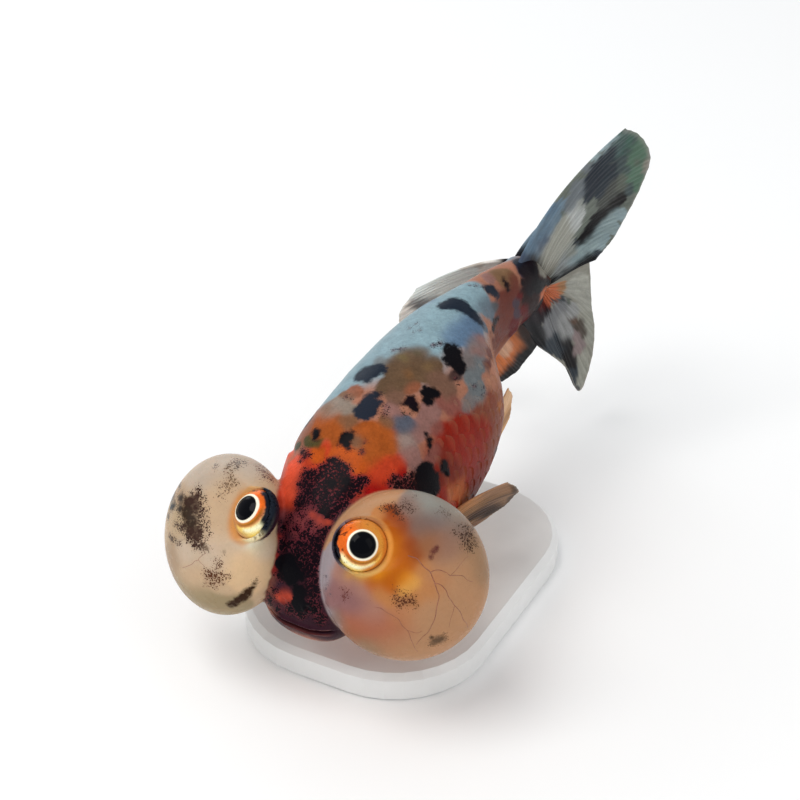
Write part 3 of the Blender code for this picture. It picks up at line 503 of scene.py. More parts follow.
# dark markings: centre, radius, stipple (0 solid to 1 dots), colour
INK = (
    ((-0.2, 17.4, 11.5), 1.39, 0.54, INK_PLUM), ((1.5, 16.8, 11.2), 1.75, 0.54, INK_PLUM),
    ((-0.8, 15.8, 10.9), 1.75, 0.54, INK_PLUM), ((-2.8, 14.5, 10.1), 1.75, 0.54, INK_PLUM),
    ((2.8, 15.4, 10.5), 1.74, 0.3, INK_BLACK), ((4.6, 16.1, 10.1), 1.56, 0.54, INK_PLUM),
    ((5.1, 16.8, 10.2), 1.20, 0.54, INK_PLUM), ((0.9, 14.4, 10.4), 1.50, 0.3, INK_BLACK),
    ((-1.4, 12.6, 9.5), 1.93, 0.54, INK_PLUM), ((-2.5, 11.3, 8.6), 1.39, 0.54, INK_PLUM),
    ((-3.6, 13.4, 9.4), 1.20, 0.54, INK_PLUM), ((-2.9, 10.6, 8.1), 1.02, 0.32, INK_BLACK),
    ((-2.6, 9.5, 7.5), 0.56, 0.3, INK_BLACK), ((1.1, 12.1, 9.3), 1.74, 0.54, INK_PLUM),
    ((3.1, 13.7, 9.7), 1.74, 0.54, INK_PLUM), ((4.3, 14.6, 9.7), 1.19, 0.54, INK_PLUM),
    ((1.6, 10.7, 8.5), 1.37, 0.3, INK_BLACK), ((3.3, 12.2, 8.9), 1.37, 0.54, INK_PLUM),
    ((4.1, 13.0, 9.0), 1.01, 0.54, INK_PLUM), ((3.1, 11.1, 8.4), 1.01, 0.54, INK_PLUM),
    ((-0.7, 11.2, 8.8), 1.12, 0.75, INK_PLUM), ((-1.0, 13.6, 10.0), 1.93, 0.54, INK_PLUM),
    ((8.6, 20.2, 8.8), 0.96, 0.5, INK_MAROON), ((8.4, 19.0, 8.6), 0.80, 0.6, INK_MAROON),
    ((9.4, 19.7, 7.6), 1.28, 0.6, INK_MAROON), ((8.3, 19.4, 5.9), 0.97, 0.6, INK_MAROON),
    ((9.8, 21.0, 7.7), 1.12, 0.5, INK_MAROON), ((10.2, 22.4, 7.6), 0.97, 0.5, INK_MAROON),
    ((10.5, 24.3, 6.9), 0.97, 0.2, INK_BLACK), ((11.1, 25.4, 6.5), 1.14, 0.12, INK_BLACK),
    ((11.9, 24.9, 4.9), 1.46, 0.1, INK_BLACK), ((12.3, 24.4, 3.4), 1.30, 0.1, INK_BLACK),
    ((11.2, 23.2, 6.2), 1.46, 0.12, INK_BLACK), ((10.9, 21.6, 6.0), 1.45, 0.5, INK_MAROON),
    ((10.3, 20.3, 6.6), 1.29, 0.5, INK_MAROON), ((11.7, 22.5, 4.6), 1.30, 0.1, INK_BLACK),
    ((-5.6, 21.8, 11.7), 0.87, 0.2, INK_BLACK), ((-5.2, 20.8, 11.6), 0.79, 0.3, INK_BLACK),
    ((-6.8, 18.9, 10.0), 0.77, 0.4, INK_PLUM), ((-5.6, 18.2, 10.4), 0.85, 0.35, INK_PLUM),
    ((-6.2, 17.5, 9.8), 0.69, 0.45, INK_PLUM), ((-4.7, 18.1, 10.8), 0.49, 0.5, INK_PLUM),
    ((-0.4, 21.7, 12.9), 0.81, 0.15, INK_BLACK), ((0.2, 22.2, 13.0), 0.81, 0.15, INK_BLACK),
    ((0.4, 22.9, 13.2), 0.48, 0.3, INK_BLACK), ((0.5, 20.8, 12.6), 0.80, 0.15, INK_BLACK),
    ((-0.6, 21.0, 12.7), 0.64, 0.2, INK_BLACK), ((1.2, 20.2, 12.4), 0.56, 0.3, INK_BLACK),
    ((-0.6, 20.3, 12.4), 0.40, 0.4, INK_BLACK), ((3.2, 20.7, 12.2), 0.64, 0.9, INK_BROWN),
    ((3.1, 22.3, 12.7), 0.48, 0.95, INK_BROWN), ((9.2, 29.6, 9.3), 0.41, 0.2, INK_BLACK),
    ((9.9, 29.3, 8.4), 0.52, 0.1, INK_BLACK), ((10.3, 28.7, 7.9), 0.42, 0.1, INK_BLACK),
    ((10.5, 27.8, 7.8), 0.33, 0.3, INK_BLACK), ((10.7, 27.3, 7.5), 0.20, 0.3, INK_BLACK),
    ((12.1, 29.0, 4.0), 0.71, 0.1, INK_BLACK), ((12.4, 28.8, 2.7), 0.58, 0.1, INK_BLACK),
    ((12.2, 28.5, 3.8), 0.54, 0.1, INK_BLACK), ((-0.2, 30.0, 13.5), 0.98, 0.2, INK_SLATE),
    ((0.2, 30.9, 13.5), 0.82, 0.25, INK_SLATE), ((0.6, 31.4, 13.4), 0.57, 0.35, INK_BLACK),
    ((0.2, 28.5, 13.5), 1.39, 0.1, INK_SLATE), ((-0.1, 27.2, 13.6), 1.14, 0.1, INK_SLATE),
    ((1.4, 27.5, 13.4), 0.97, 0.15, INK_SLATE), ((-0.2, 26.3, 13.6), 0.81, 0.15, INK_SLATE),
    ((1.3, 29.1, 13.4), 0.98, 0.15, INK_SLATE), ((1.7, 30.0, 13.3), 0.65, 0.3, INK_SLATE),
    ((-1.0, 26.8, 13.5), 0.49, 0.3, INK_SLATE), ((1.0, 26.1, 13.5), 0.73, 0.2, INK_SLATE),
    ((2.5, 28.1, 13.3), 0.36, 0.5, INK_BLACK), ((3.4, 27.4, 13.2), 0.32, 0.5, INK_BLACK),
    ((2.8, 29.6, 13.2), 0.33, 0.4, INK_BLACK), ((3.3, 29.2, 13.2), 0.24, 0.4, INK_BLACK),
    ((3.2, 28.1, 13.2), 0.32, 0.5, INK_BLACK), ((5.1, 32.6, 12.3), 0.79, 0.1, INK_PLUM),
    ((6.1, 32.2, 11.9), 0.82, 0.1, INK_PLUM), ((6.7, 32.0, 11.4), 0.62, 0.15, INK_PLUM),
    ((4.7, 31.7, 12.5), 0.52, 0.3, INK_PLUM), ((5.1, 33.3, 12.2), 0.43, 0.2, INK_PLUM),
    ((6.3, 35.8, 11.4), 0.69, 0.1, INK_BLACK), ((6.8, 36.4, 11.0), 1.02, 0.08, INK_BLACK),
    ((7.3, 37.1, 10.5), 0.63, 0.1, INK_BLACK), ((6.9, 34.8, 11.0), 0.69, 0.15, INK_BLACK),
    ((7.4, 34.9, 10.7), 0.58, 0.15, INK_BLACK), ((5.7, 36.8, 11.7), 0.36, 0.3, INK_BLACK),
    ((5.5, 29.8, 12.3), 0.49, 0.4, INK_MOSS), ((6.1, 30.3, 12.0), 0.33, 0.4, INK_MOSS),
    ((6.4, 31.2, 11.7), 0.33, 0.4, INK_BLACK), ((6.9, 31.9, 11.3), 0.26, 0.4, INK_BLACK),
    ((-4.7, 34.7, 12.3), 0.83, 0.12, INK_NAVY), ((-4.0, 35.4, 12.5), 1.13, 0.1, INK_NAVY),
    ((-3.0, 36.0, 12.8), 1.13, 0.1, INK_NAVY), ((-2.3, 36.7, 12.8), 0.87, 0.12, INK_NAVY),
    ((-1.4, 36.4, 13.0), 0.50, 0.2, INK_NAVY), ((-3.1, 33.9, 12.9), 0.63, 0.15, INK_NAVY),
    ((-4.9, 34.0, 12.3), 0.50, 0.25, INK_NAVY), ((-2.6, 41.9, 12.2), 0.44, 0.6, INK_SLATE),
    ((-1.8, 42.4, 12.2), 0.35, 0.6, INK_SLATE), ((-1.1, 42.9, 12.1), 0.25, 0.6, INK_SLATE),
    ((2.6, 45.6, 11.5), 0.51, 0.5, INK_NAVY), ((3.4, 46.5, 11.3), 0.64, 0.4, INK_BLACK),
    ((4.5, 47.0, 10.7), 0.76, 0.25, INK_BLACK), ((4.7, 45.9, 10.9), 0.76, 0.2, INK_BLACK),
    ((5.4, 47.6, 10.3), 0.61, 0.3, INK_BLACK), ((5.9, 45.6, 10.5), 1.23, 0.1, INK_BLACK),
    ((6.8, 45.1, 9.9), 1.23, 0.08, INK_BLACK), ((7.5, 44.6, 9.5), 1.01, 0.1, INK_BLACK),
    ((6.0, 46.7, 10.2), 1.01, 0.15, INK_BLACK), ((8.0, 43.9, 9.2), 0.60, 0.15, INK_BLACK),
    ((5.4, 44.5, 10.8), 0.62, 0.2, INK_BLACK), ((6.2, 43.6, 10.6), 0.47, 0.3, INK_BLACK),
    ((8.2, 42.2, 9.3), 0.33, 0.5, INK_PLUM), ((8.9, 41.9, 8.5), 0.25, 0.5, INK_PLUM),
    ((10.2, 44.2, 6.5), 0.44, 0.4, INK_NAVY), ((10.9, 45.7, 4.7), 0.44, 0.3, INK_BLACK),
    ((11.1, 42.1, 5.0), 0.35, 0.3, INK_NAVY), ((11.2, 44.3, 4.5), 0.27, 0.5, INK_NAVY),
    ((-1.2, 55.7, 10.0), 0.66, 0.2, INK_NAVY), ((-0.7, 56.5, 9.8), 0.90, 0.1, INK_NAVY),
    ((-0.2, 57.7, 9.4), 1.08, 0.08, INK_NAVY), ((0.7, 58.0, 9.2), 1.15, 0.08, INK_NAVY),
    ((1.6, 57.9, 8.9), 1.15, 0.08, INK_NAVY), ((2.6, 57.7, 8.6), 0.97, 0.08, INK_NAVY),
    ((3.4, 57.8, 7.9), 0.91, 0.1, INK_NAVY), ((4.2, 57.6, 7.3), 0.80, 0.1, INK_NAVY),
    ((4.8, 57.7, 6.3), 0.63, 0.15, INK_NAVY), ((5.4, 57.3, 5.7), 0.38, 0.3, INK_NAVY),
    ((0.8, 66.6, 5.6), 0.46, 0.25, INK_SLATE), ((1.4, 67.1, 4.9), 0.75, 0.15, INK_SLATE),
    ((1.8, 67.9, 3.9), 0.82, 0.15, INK_SLATE), ((2.3, 68.1, 3.0), 0.72, 0.2, INK_SLATE),
    ((2.6, 67.9, 2.1), 0.40, 0.3, INK_SLATE), ((-0.7, 64.9, 6.9), 0.36, 0.7, INK_SLATE),
    ((0.1, 65.7, 6.4), 0.36, 0.7, INK_SLATE), ((3.4, 64.9, -0.4), 0.65, 0.15, INK_PLUM),
    ((3.1, 66.3, -1.0), 0.45, 0.2, INK_PLUM), ((3.9, 63.2, -0.3), 0.64, 0.15, INK_PLUM),
    ((4.7, 60.7, 1.5), 0.44, 0.3, INK_PLUM), ((1.9, 71.9, 2.8), 0.47, 0.2, INK_MAROON),
    ((2.5, 71.8, 1.9), 0.58, 0.15, INK_MAROON), ((2.8, 71.6, 1.0), 0.47, 0.2, INK_MAROON),
    ((1.6, 72.2, 3.1), 0.36, 0.3, INK_MAROON), ((0.9, 79.2, 0.4), 0.92, 0.2, INK_SLATE),
    ((2.3, 79.4, -0.4), 1.29, 0.12, INK_PLUM), ((3.4, 78.4, -2.0), 1.29, 0.1, INK_MAROON),
    ((3.3, 76.2, -1.2), 0.92, 0.3, INK_MAROON), ((3.2, 80.5, -2.3), 1.11, 0.1, INK_BLACK),
    ((3.9, 79.6, -4.1), 1.12, 0.1, INK_BLACK), ((-2.8, 50.0, 10.7), 0.38, 0.9, INK_SLATE),
    ((-1.3, 48.6, 11.1), 0.34, 0.9, INK_SLATE), ((-3.5, 48.5, 10.7), 0.34, 0.95, INK_SLATE),
    ((-1.9, 47.5, 11.2), 0.27, 0.95, INK_SLATE), ((3.0, 78.6, -11.2), 0.57, 0.3, INK_MAROON),
    ((-9.5, 46.3, 6.5), 0.28, 0.8, INK_SLATE), ((-4.5, 29.5, 12.7), 0.40, 0.5, INK_PLUM),
    ((-3.4, 29.2, 13.2), 0.30, 0.5, INK_PLUM),
    ((-2.0, 3.5, 2.2), 2.32, 0.1, INK_BLACK), ((-1.3, 2.5, 0.6), 1.49, 0.15, INK_BLACK),
    ((-2.8, 2.6, 0.5), 1.33, 0.52, INK_BLACK), ((-0.1, 4.3, 3.4), 1.98, 0.52, INK_BLACK),
    ((1.8, 4.8, 3.7), 1.81, 0.52, INK_PLUM), ((-0.6, 5.8, 4.9), 1.65, 0.52, INK_PLUM),
    ((1.7, 6.4, 5.4), 1.81, 0.52, INK_PLUM), ((-3.3, 5.5, 4.1), 1.49, 0.52, INK_PLUM),
    ((1.9, 3.6, 2.2), 1.65, 0.52, INK_PLUM), ((0.3, 3.0, 1.5), 1.49, 0.3, INK_BLACK),
    ((2.6, 2.2, -0.1), 1.82, 0.52, INK_PLUM), ((0.7, 1.7, -0.8), 1.49, 0.25, INK_BLACK),
    ((0.8, 0.8, -2.9), 1.66, 0.12, INK_BLACK), ((2.7, 1.1, -2.8), 1.66, 0.52, INK_BLACK),
    ((4.0, 0.7, -4.9), 1.33, 0.52, INK_PLUM), ((-0.9, 0.2, -4.3), 1.17, 0.52, INK_BLACK),
    ((-3.2, 0.1, -5.2), 0.84, 0.52, INK_PLUM), ((0.8, 0.1, -4.6), 1.17, 0.52, INK_BLACK),
    ((-5.0, 0.9, -4.6), 1.01, 0.52, INK_PLUM), ((-4.1, 1.4, -2.3), 0.84, 0.52, INK_PLUM),
    ((1.7, 6.7, -0.9), 1.34, 0.52, INK_PLUM), ((3.3, 3.1, 0.9), 1.32, 0.52, INK_PLUM),
    ((-4.1, 7.5, 5.6), 1.16, 0.52, INK_PLUM), ((-10.4, 13.2, -5.1), 1.04, 0.4, INK_PLUM),
    ((-11.2, 14.8, -3.6), 0.87, 0.6, INK_PLUM), ((2.7, 8.6, 6.9), 0.99, 0.52, INK_PLUM),
    ((2.1, 7.7, 6.4), 1.32, 0.52, INK_PLUM), ((-0.3, 7.1, 6.1), 1.15, 0.65, INK_PLUM),
    ((-2.1, 7.6, 6.4), 0.99, 0.75, INK_PLUM), ((-3.8, 8.8, 6.7), 0.66, 0.8, INK_PLUM),
    ((-8.9, 8.3, -8.1), 0.69, 0.3, INK_MAROON), ((-5.2, 1.3, -3.9), 0.67, 0.6, INK_BROWN),
    ((-0.1, 8.3, 7.1), 0.82, 0.8, INK_PLUM), ((1.5, 10.2, 1.1), 1.01, 0.4, INK_PLUM),
    ((-1.6, 9.3, 7.7), 0.66, 0.75, INK_PLUM), ((2.3, 10.4, 8.2), 1.05, 0.54, INK_PLUM),
    ((2.0, 81.6, -1.3), 1.20, 0.12, INK_PLUM), ((3.4, 79.8, -2.3), 1.30, 0.1, INK_PLUM),
    ((3.8, 77.2, -3.5), 1.00, 0.2, INK_PLUM), ((2.5, 78.3, -0.2), 1.10, 0.15, INK_PLUM),
    ((1.2, 79.6, 0.2), 1.00, 0.15, INK_SLATE), ((4.0, 80.0, -5.0), 1.20, 0.1, INK_BLACK),
    ((4.0, 82.8, -6.9), 0.75, 0.1, INK_BLACK), ((3.9, 84.4, -7.9), 0.70, 0.1, INK_BLACK),
    ((4.0, 81.4, -6.1), 0.80, 0.1, INK_BLACK), ((3.6, 79.4, -11.8), 1.10, 0.2, INK_BLACK),
)
# the same on the right side and below
INK_FAR = (
    ((-9.8, 26, 8.2), 1.9, 0.3, INK_BLACK), ((-11.0, 27.4, 6.6), 1.4, 0.3, INK_BLACK),
    ((-12.2, 33, 4.4), 1.6, 0.2, INK_NAVY), ((-12.9, 31.6, 2.6), 1.1, 0.3, INK_NAVY),
    ((-12.7, 40, -1.5), 1.3, 0.2, INK_BLACK), ((-11.2, 47, 4.2), 1.9, 0.15, INK_NAVY),
    ((-9.8, 49, 5.8), 1.5, 0.15, INK_NAVY), ((-12.2, 45.4, 2.0), 1.2, 0.2, INK_NAVY),
    ((-7.0, 57, 5.2), 1.6, 0.15, INK_NAVY), ((-7.9, 56, 3.2), 1.2, 0.2, INK_NAVY),
    ((-6.9, 59, -2.6), 1.0, 0.2, INK_MAROON), ((-4.5, 67, 1.2), 1.4, 0.15, INK_NAVY),
    ((-12.0, 27.6, -4.0), 1.6, 0.5, INK_MAROON), ((-12.6, 24.4, -1.0), 1.4, 0.6, INK_MAROON),
    ((-4.2, 75, -5.0), 1.6, 0.2, INK_BLACK), ((-3.4, 82, -5.0), 2.2, 0.2, INK_PLUM),
    ((12.2, 45.0, -9.0), 1.0, 0.2, INK_MAROON), ((8.2, 56, -5.2), 1.2, 0.2, INK_BLACK),
    ((4.2, 64, -5.6), 1.0, 0.2, INK_BLACK), ((3.4, 81.5, -11.5), 2.4, 0.2, INK_BLACK),
    ((2.0, 40, -21.0), 1.4, 0.4, INK_MAROON),
    ((-4.5, 33, -20.0), 1.1, 0.4, INK_MAROON), ((0.5, 4.0, -13.4), 2.0, 0.8, INK_PLUM),
    ((-4.0, 5.0, -12.0), 2.0, 0.75, INK_PLUM), ((4.6, 4.6, -12.0), 2.2, 0.7, INK_PLUM),
    ((5.6, 6.0, -7.0), 3.0, 0.6, INK_PLUM), ((-6.0, 6.5, -8.0), 2.6, 0.7, INK_PLUM),
    ((9.2, 12.0, -9.0), 2.4, 0.8, INK_MAROON), ((-9.4, 13.0, -8.0), 2.4, 0.8, INK_MAROON),
)
# the red flecks that stay clear of the black
INK_CLEAR = (((-1.7, 1.0, -2.6), 0.55), ((-1.0, 1.1, -2.3), 0.42), ((1.0, 9.6, 7.9), 0.6), ((2.2, 9.5, 7.6), 0.5))

SAC_AREAS = {
    1: (
    ((16.0, 17.6, 9.6), 2.9, MIST), ((19.2, 19.0, 7.1), 2.9, MIST), ((14.5, 14.9, 10.7), 1.7, MIST_PINK),
    ((18.9, 14.9, 8.9), 2.5, DOVE), ((16.8, 12.7, 9.8), 2.2, DOVE_PINK), ((21.5, 16.6, 6.6), 2.0, DOVE),
    ((23.8, 16.0, 3.9), 1.7, SAND_DIM), ((25.4, 15.0, 0.4), 2.1, SAND_DIM), ((21.4, 12.8, 6.9), 2.9, TAUPE),
    ((19.1, 11.1, 8.2), 2.2, CLAY_DIM), ((23.9, 10.1, 2.6), 3.4, SAND), ((23.5, 6.7, -0.7), 3.7, SAND),
    ((25.5, 10.0, -1.4), 2.2, SAND), ((21.7, 8.3, 4.1), 2.0, CLAY), ((20.8, 4.0, -0.2), 2.5, SAND),
    ((17.9, 1.0, -4.7), 3.4, SAND), ((21.7, 3.5, -5.0), 2.6, SAND), ((12.8, -0.3, -6.8), 2.6, SAND_DIM),
    ((8.9, 0.2, -6.3), 2.3, CLAY_DIM), ((16.4, 0.8, -1.8), 3.2, CLAY_ROSE), ((12.2, -0.1, -1.6), 2.6, CLAY_ROSE),
    ((13.6, 0.8, 1.0), 2.2, MAUVE_WARM), ((17.9, 2.5, 0.7), 2.2, CLAY), ((9.2, 1.5, 2.9), 2.2, MAUVE),
    ((11.0, 0.9, 1.6), 2.0, MAUVE), ((7.4, 2.0, 2.9), 1.5, MAUVE), ((6.5, 1.1, -0.0), 1.5, MAUVE),
    # the pale grey patches along the sac's edge by the head are a painted light rim
    ((7.2, 0.4, -3.2), 1.7, MAUVE_GREY), ((11.7, 2.2, 4.0), 1.5, MAUVE_WARM), ((4.4, 4.7, 4.6), 1.4, RIM_LIGHT_GREY),
    ((4.6, 3.0, 2.3), 1.2, RIM_LIGHT_GREY), ((4.1, 2.5, -1.5), 1.0, RIM_LIGHT_GREY), ((6.0, 0.9, -2.8), 1.0, RIM_LIGHT_GREY),
    ((5.3, 5.9, 6.6), 1.0, RIM_LIGHT_GREY), ((7.5, 0.3, -4.5), 0.9, RIM_LIGHT_GREY), ((7.8, 3.5, 5.4), 1.4, MAUVE_WARM),
    ((9.0, 2.5, 4.4), 1.4, MAUVE_WARM), ((14.5, 2.8, 3.9), 1.5, AMBER_SOFT), ((16.2, 2.9, 3.1), 1.3, AMBER_SOFT),
    ((19.3, 4.5, 2.7), 1.5, AMBER_SOFT), ((19.2, 7.5, 6.1), 1.5, AMBER_SOFT), ((20.9, 6.5, 3.5), 1.7, AMBER_SOFT),
    ((18.0, 8.7, 7.7), 1.3, AMBER_DEEP), ((16.8, 9.5, 8.8), 1.3, AMBER_DEEP), ((14.6, 11.0, 10.2), 1.5, AMBER_DEEP),
    ((12.4, 11.9, 10.8), 1.2, AMBER_DEEP), ((10.9, 11.3, 10.8), 1.0, AMBER_SOFT),
    # painted glow: the orange and gold patches round the eye stand for light shining through the sac
    ((14.6, 8.9, 9.4), 1.8, GLOW), ((16.0, 7.5, 7.9), 1.8, GLOW), ((16.3, 5.8, 6.5), 1.8, GLOW),
    ((15.1, 4.0, 5.1), 1.5, GLOW), ((12.8, 3.2, 5.0), 1.3, GLOW), ((17.6, 7.2, 6.8), 1.2, GLOW),
    ((12.7, 9.9, 10.2), 1.3, GLOW), ((14.3, 6.2, 7.7), 1.5, GLOW_GOLD), ((13.9, 7.8, 9.0), 1.5, GLOW_GOLD),
    ((13.2, 4.4, 6.5), 1.3, GLOW_GOLD), ((17.4, 5.7, 5.6), 1.3, GLOW_GOLD), ((18.6, 5.8, 4.9), 1.3, GLOW_PALE),
    ((17.8, 4.7, 4.4), 1.2, GLOW_PALE), ((11.4, 3.6, 5.9), 1.3, GLOW_PALE), ((9.4, 3.4, 5.7), 1.0, GLOW_PALE),
    ((11.4, 9.3, 6.4), 0.7, GLOW_PALE),
    ((17, 21, -3), 7.0, SAND), ((22, 20, 2), 5.0, SAND_DIM), ((12, 21, -8), 6.0, SAND_DIM)),
    -1: (
    ((-17.1, 12.9, 10.2), 2.3, MIST_PALE), ((-19.7, 9.3, 9.2), 2.3, MIST_PALE), ((-12.8, 13.3, 10.3), 1.9, MIST_PALE),
    ((-23.0, 7.4, 6.1), 1.4, SAND_PALE), ((-21.3, -0.3, -1.0), 1.8, SAND_PALE),
    ((-20.0, -1.7, -6.1), 2.2, SAND_OLIVE), ((-15.3, -3.3, -5.0), 2.1, SAND_OLIVE),
    ((-11.7, -3.1, -5.0), 1.8, SAND_OLIVE), ((-8.5, -2.0, -4.1), 1.4, SAND_OLIVE),
    ((-12.1, 2.2, 7.5), 2.9, PARCHMENT), ((-12.2, -0.0, 5.2), 2.4, PARCHMENT_COOL),
    ((-8.1, 0.2, 4.2), 2.6, CREAM_TAN), ((-6.6, -0.2, 1.8), 2.1, CREAM_TAN), ((-15.5, 5.5, 9.5), 2.4, PARCHMENT),
    ((-12.3, 6.4, 10.2), 1.7, PARCHMENT), ((-16.6, -2.2, -0.2), 2.3, PARCHMENT),
    ((-17.8, -0.8, 2.2), 1.6, PARCHMENT_COOL), ((-5.8, 2.7, 5.1), 1.4, PARCHMENT_COOL),
    # the palest cream patches just below the right eye are painted glow
    ((-9.2, 1.3, 6.2), 1.4, PARCHMENT_COOL), ((-6.6, 2.7, 5.8), 1.4, GLOW_CREAM_PALE),
    ((-8.6, 3.1, 5.9), 1.2, GLOW_CREAM_BRIGHT), ((-7.4, 3.2, 5.9), 0.9, GLOW_CREAM_BRIGHT),
    ((-9.3, 3.1, 6.3), 0.7, GLOW_CREAM_BRIGHT),
    ((-19, 17, -2), 7.0, PARCHMENT), ((-23, 13, -6), 5.0, SAND_OLIVE), ((-15, 18, -8), 6.0, SAND_PALE)),
}
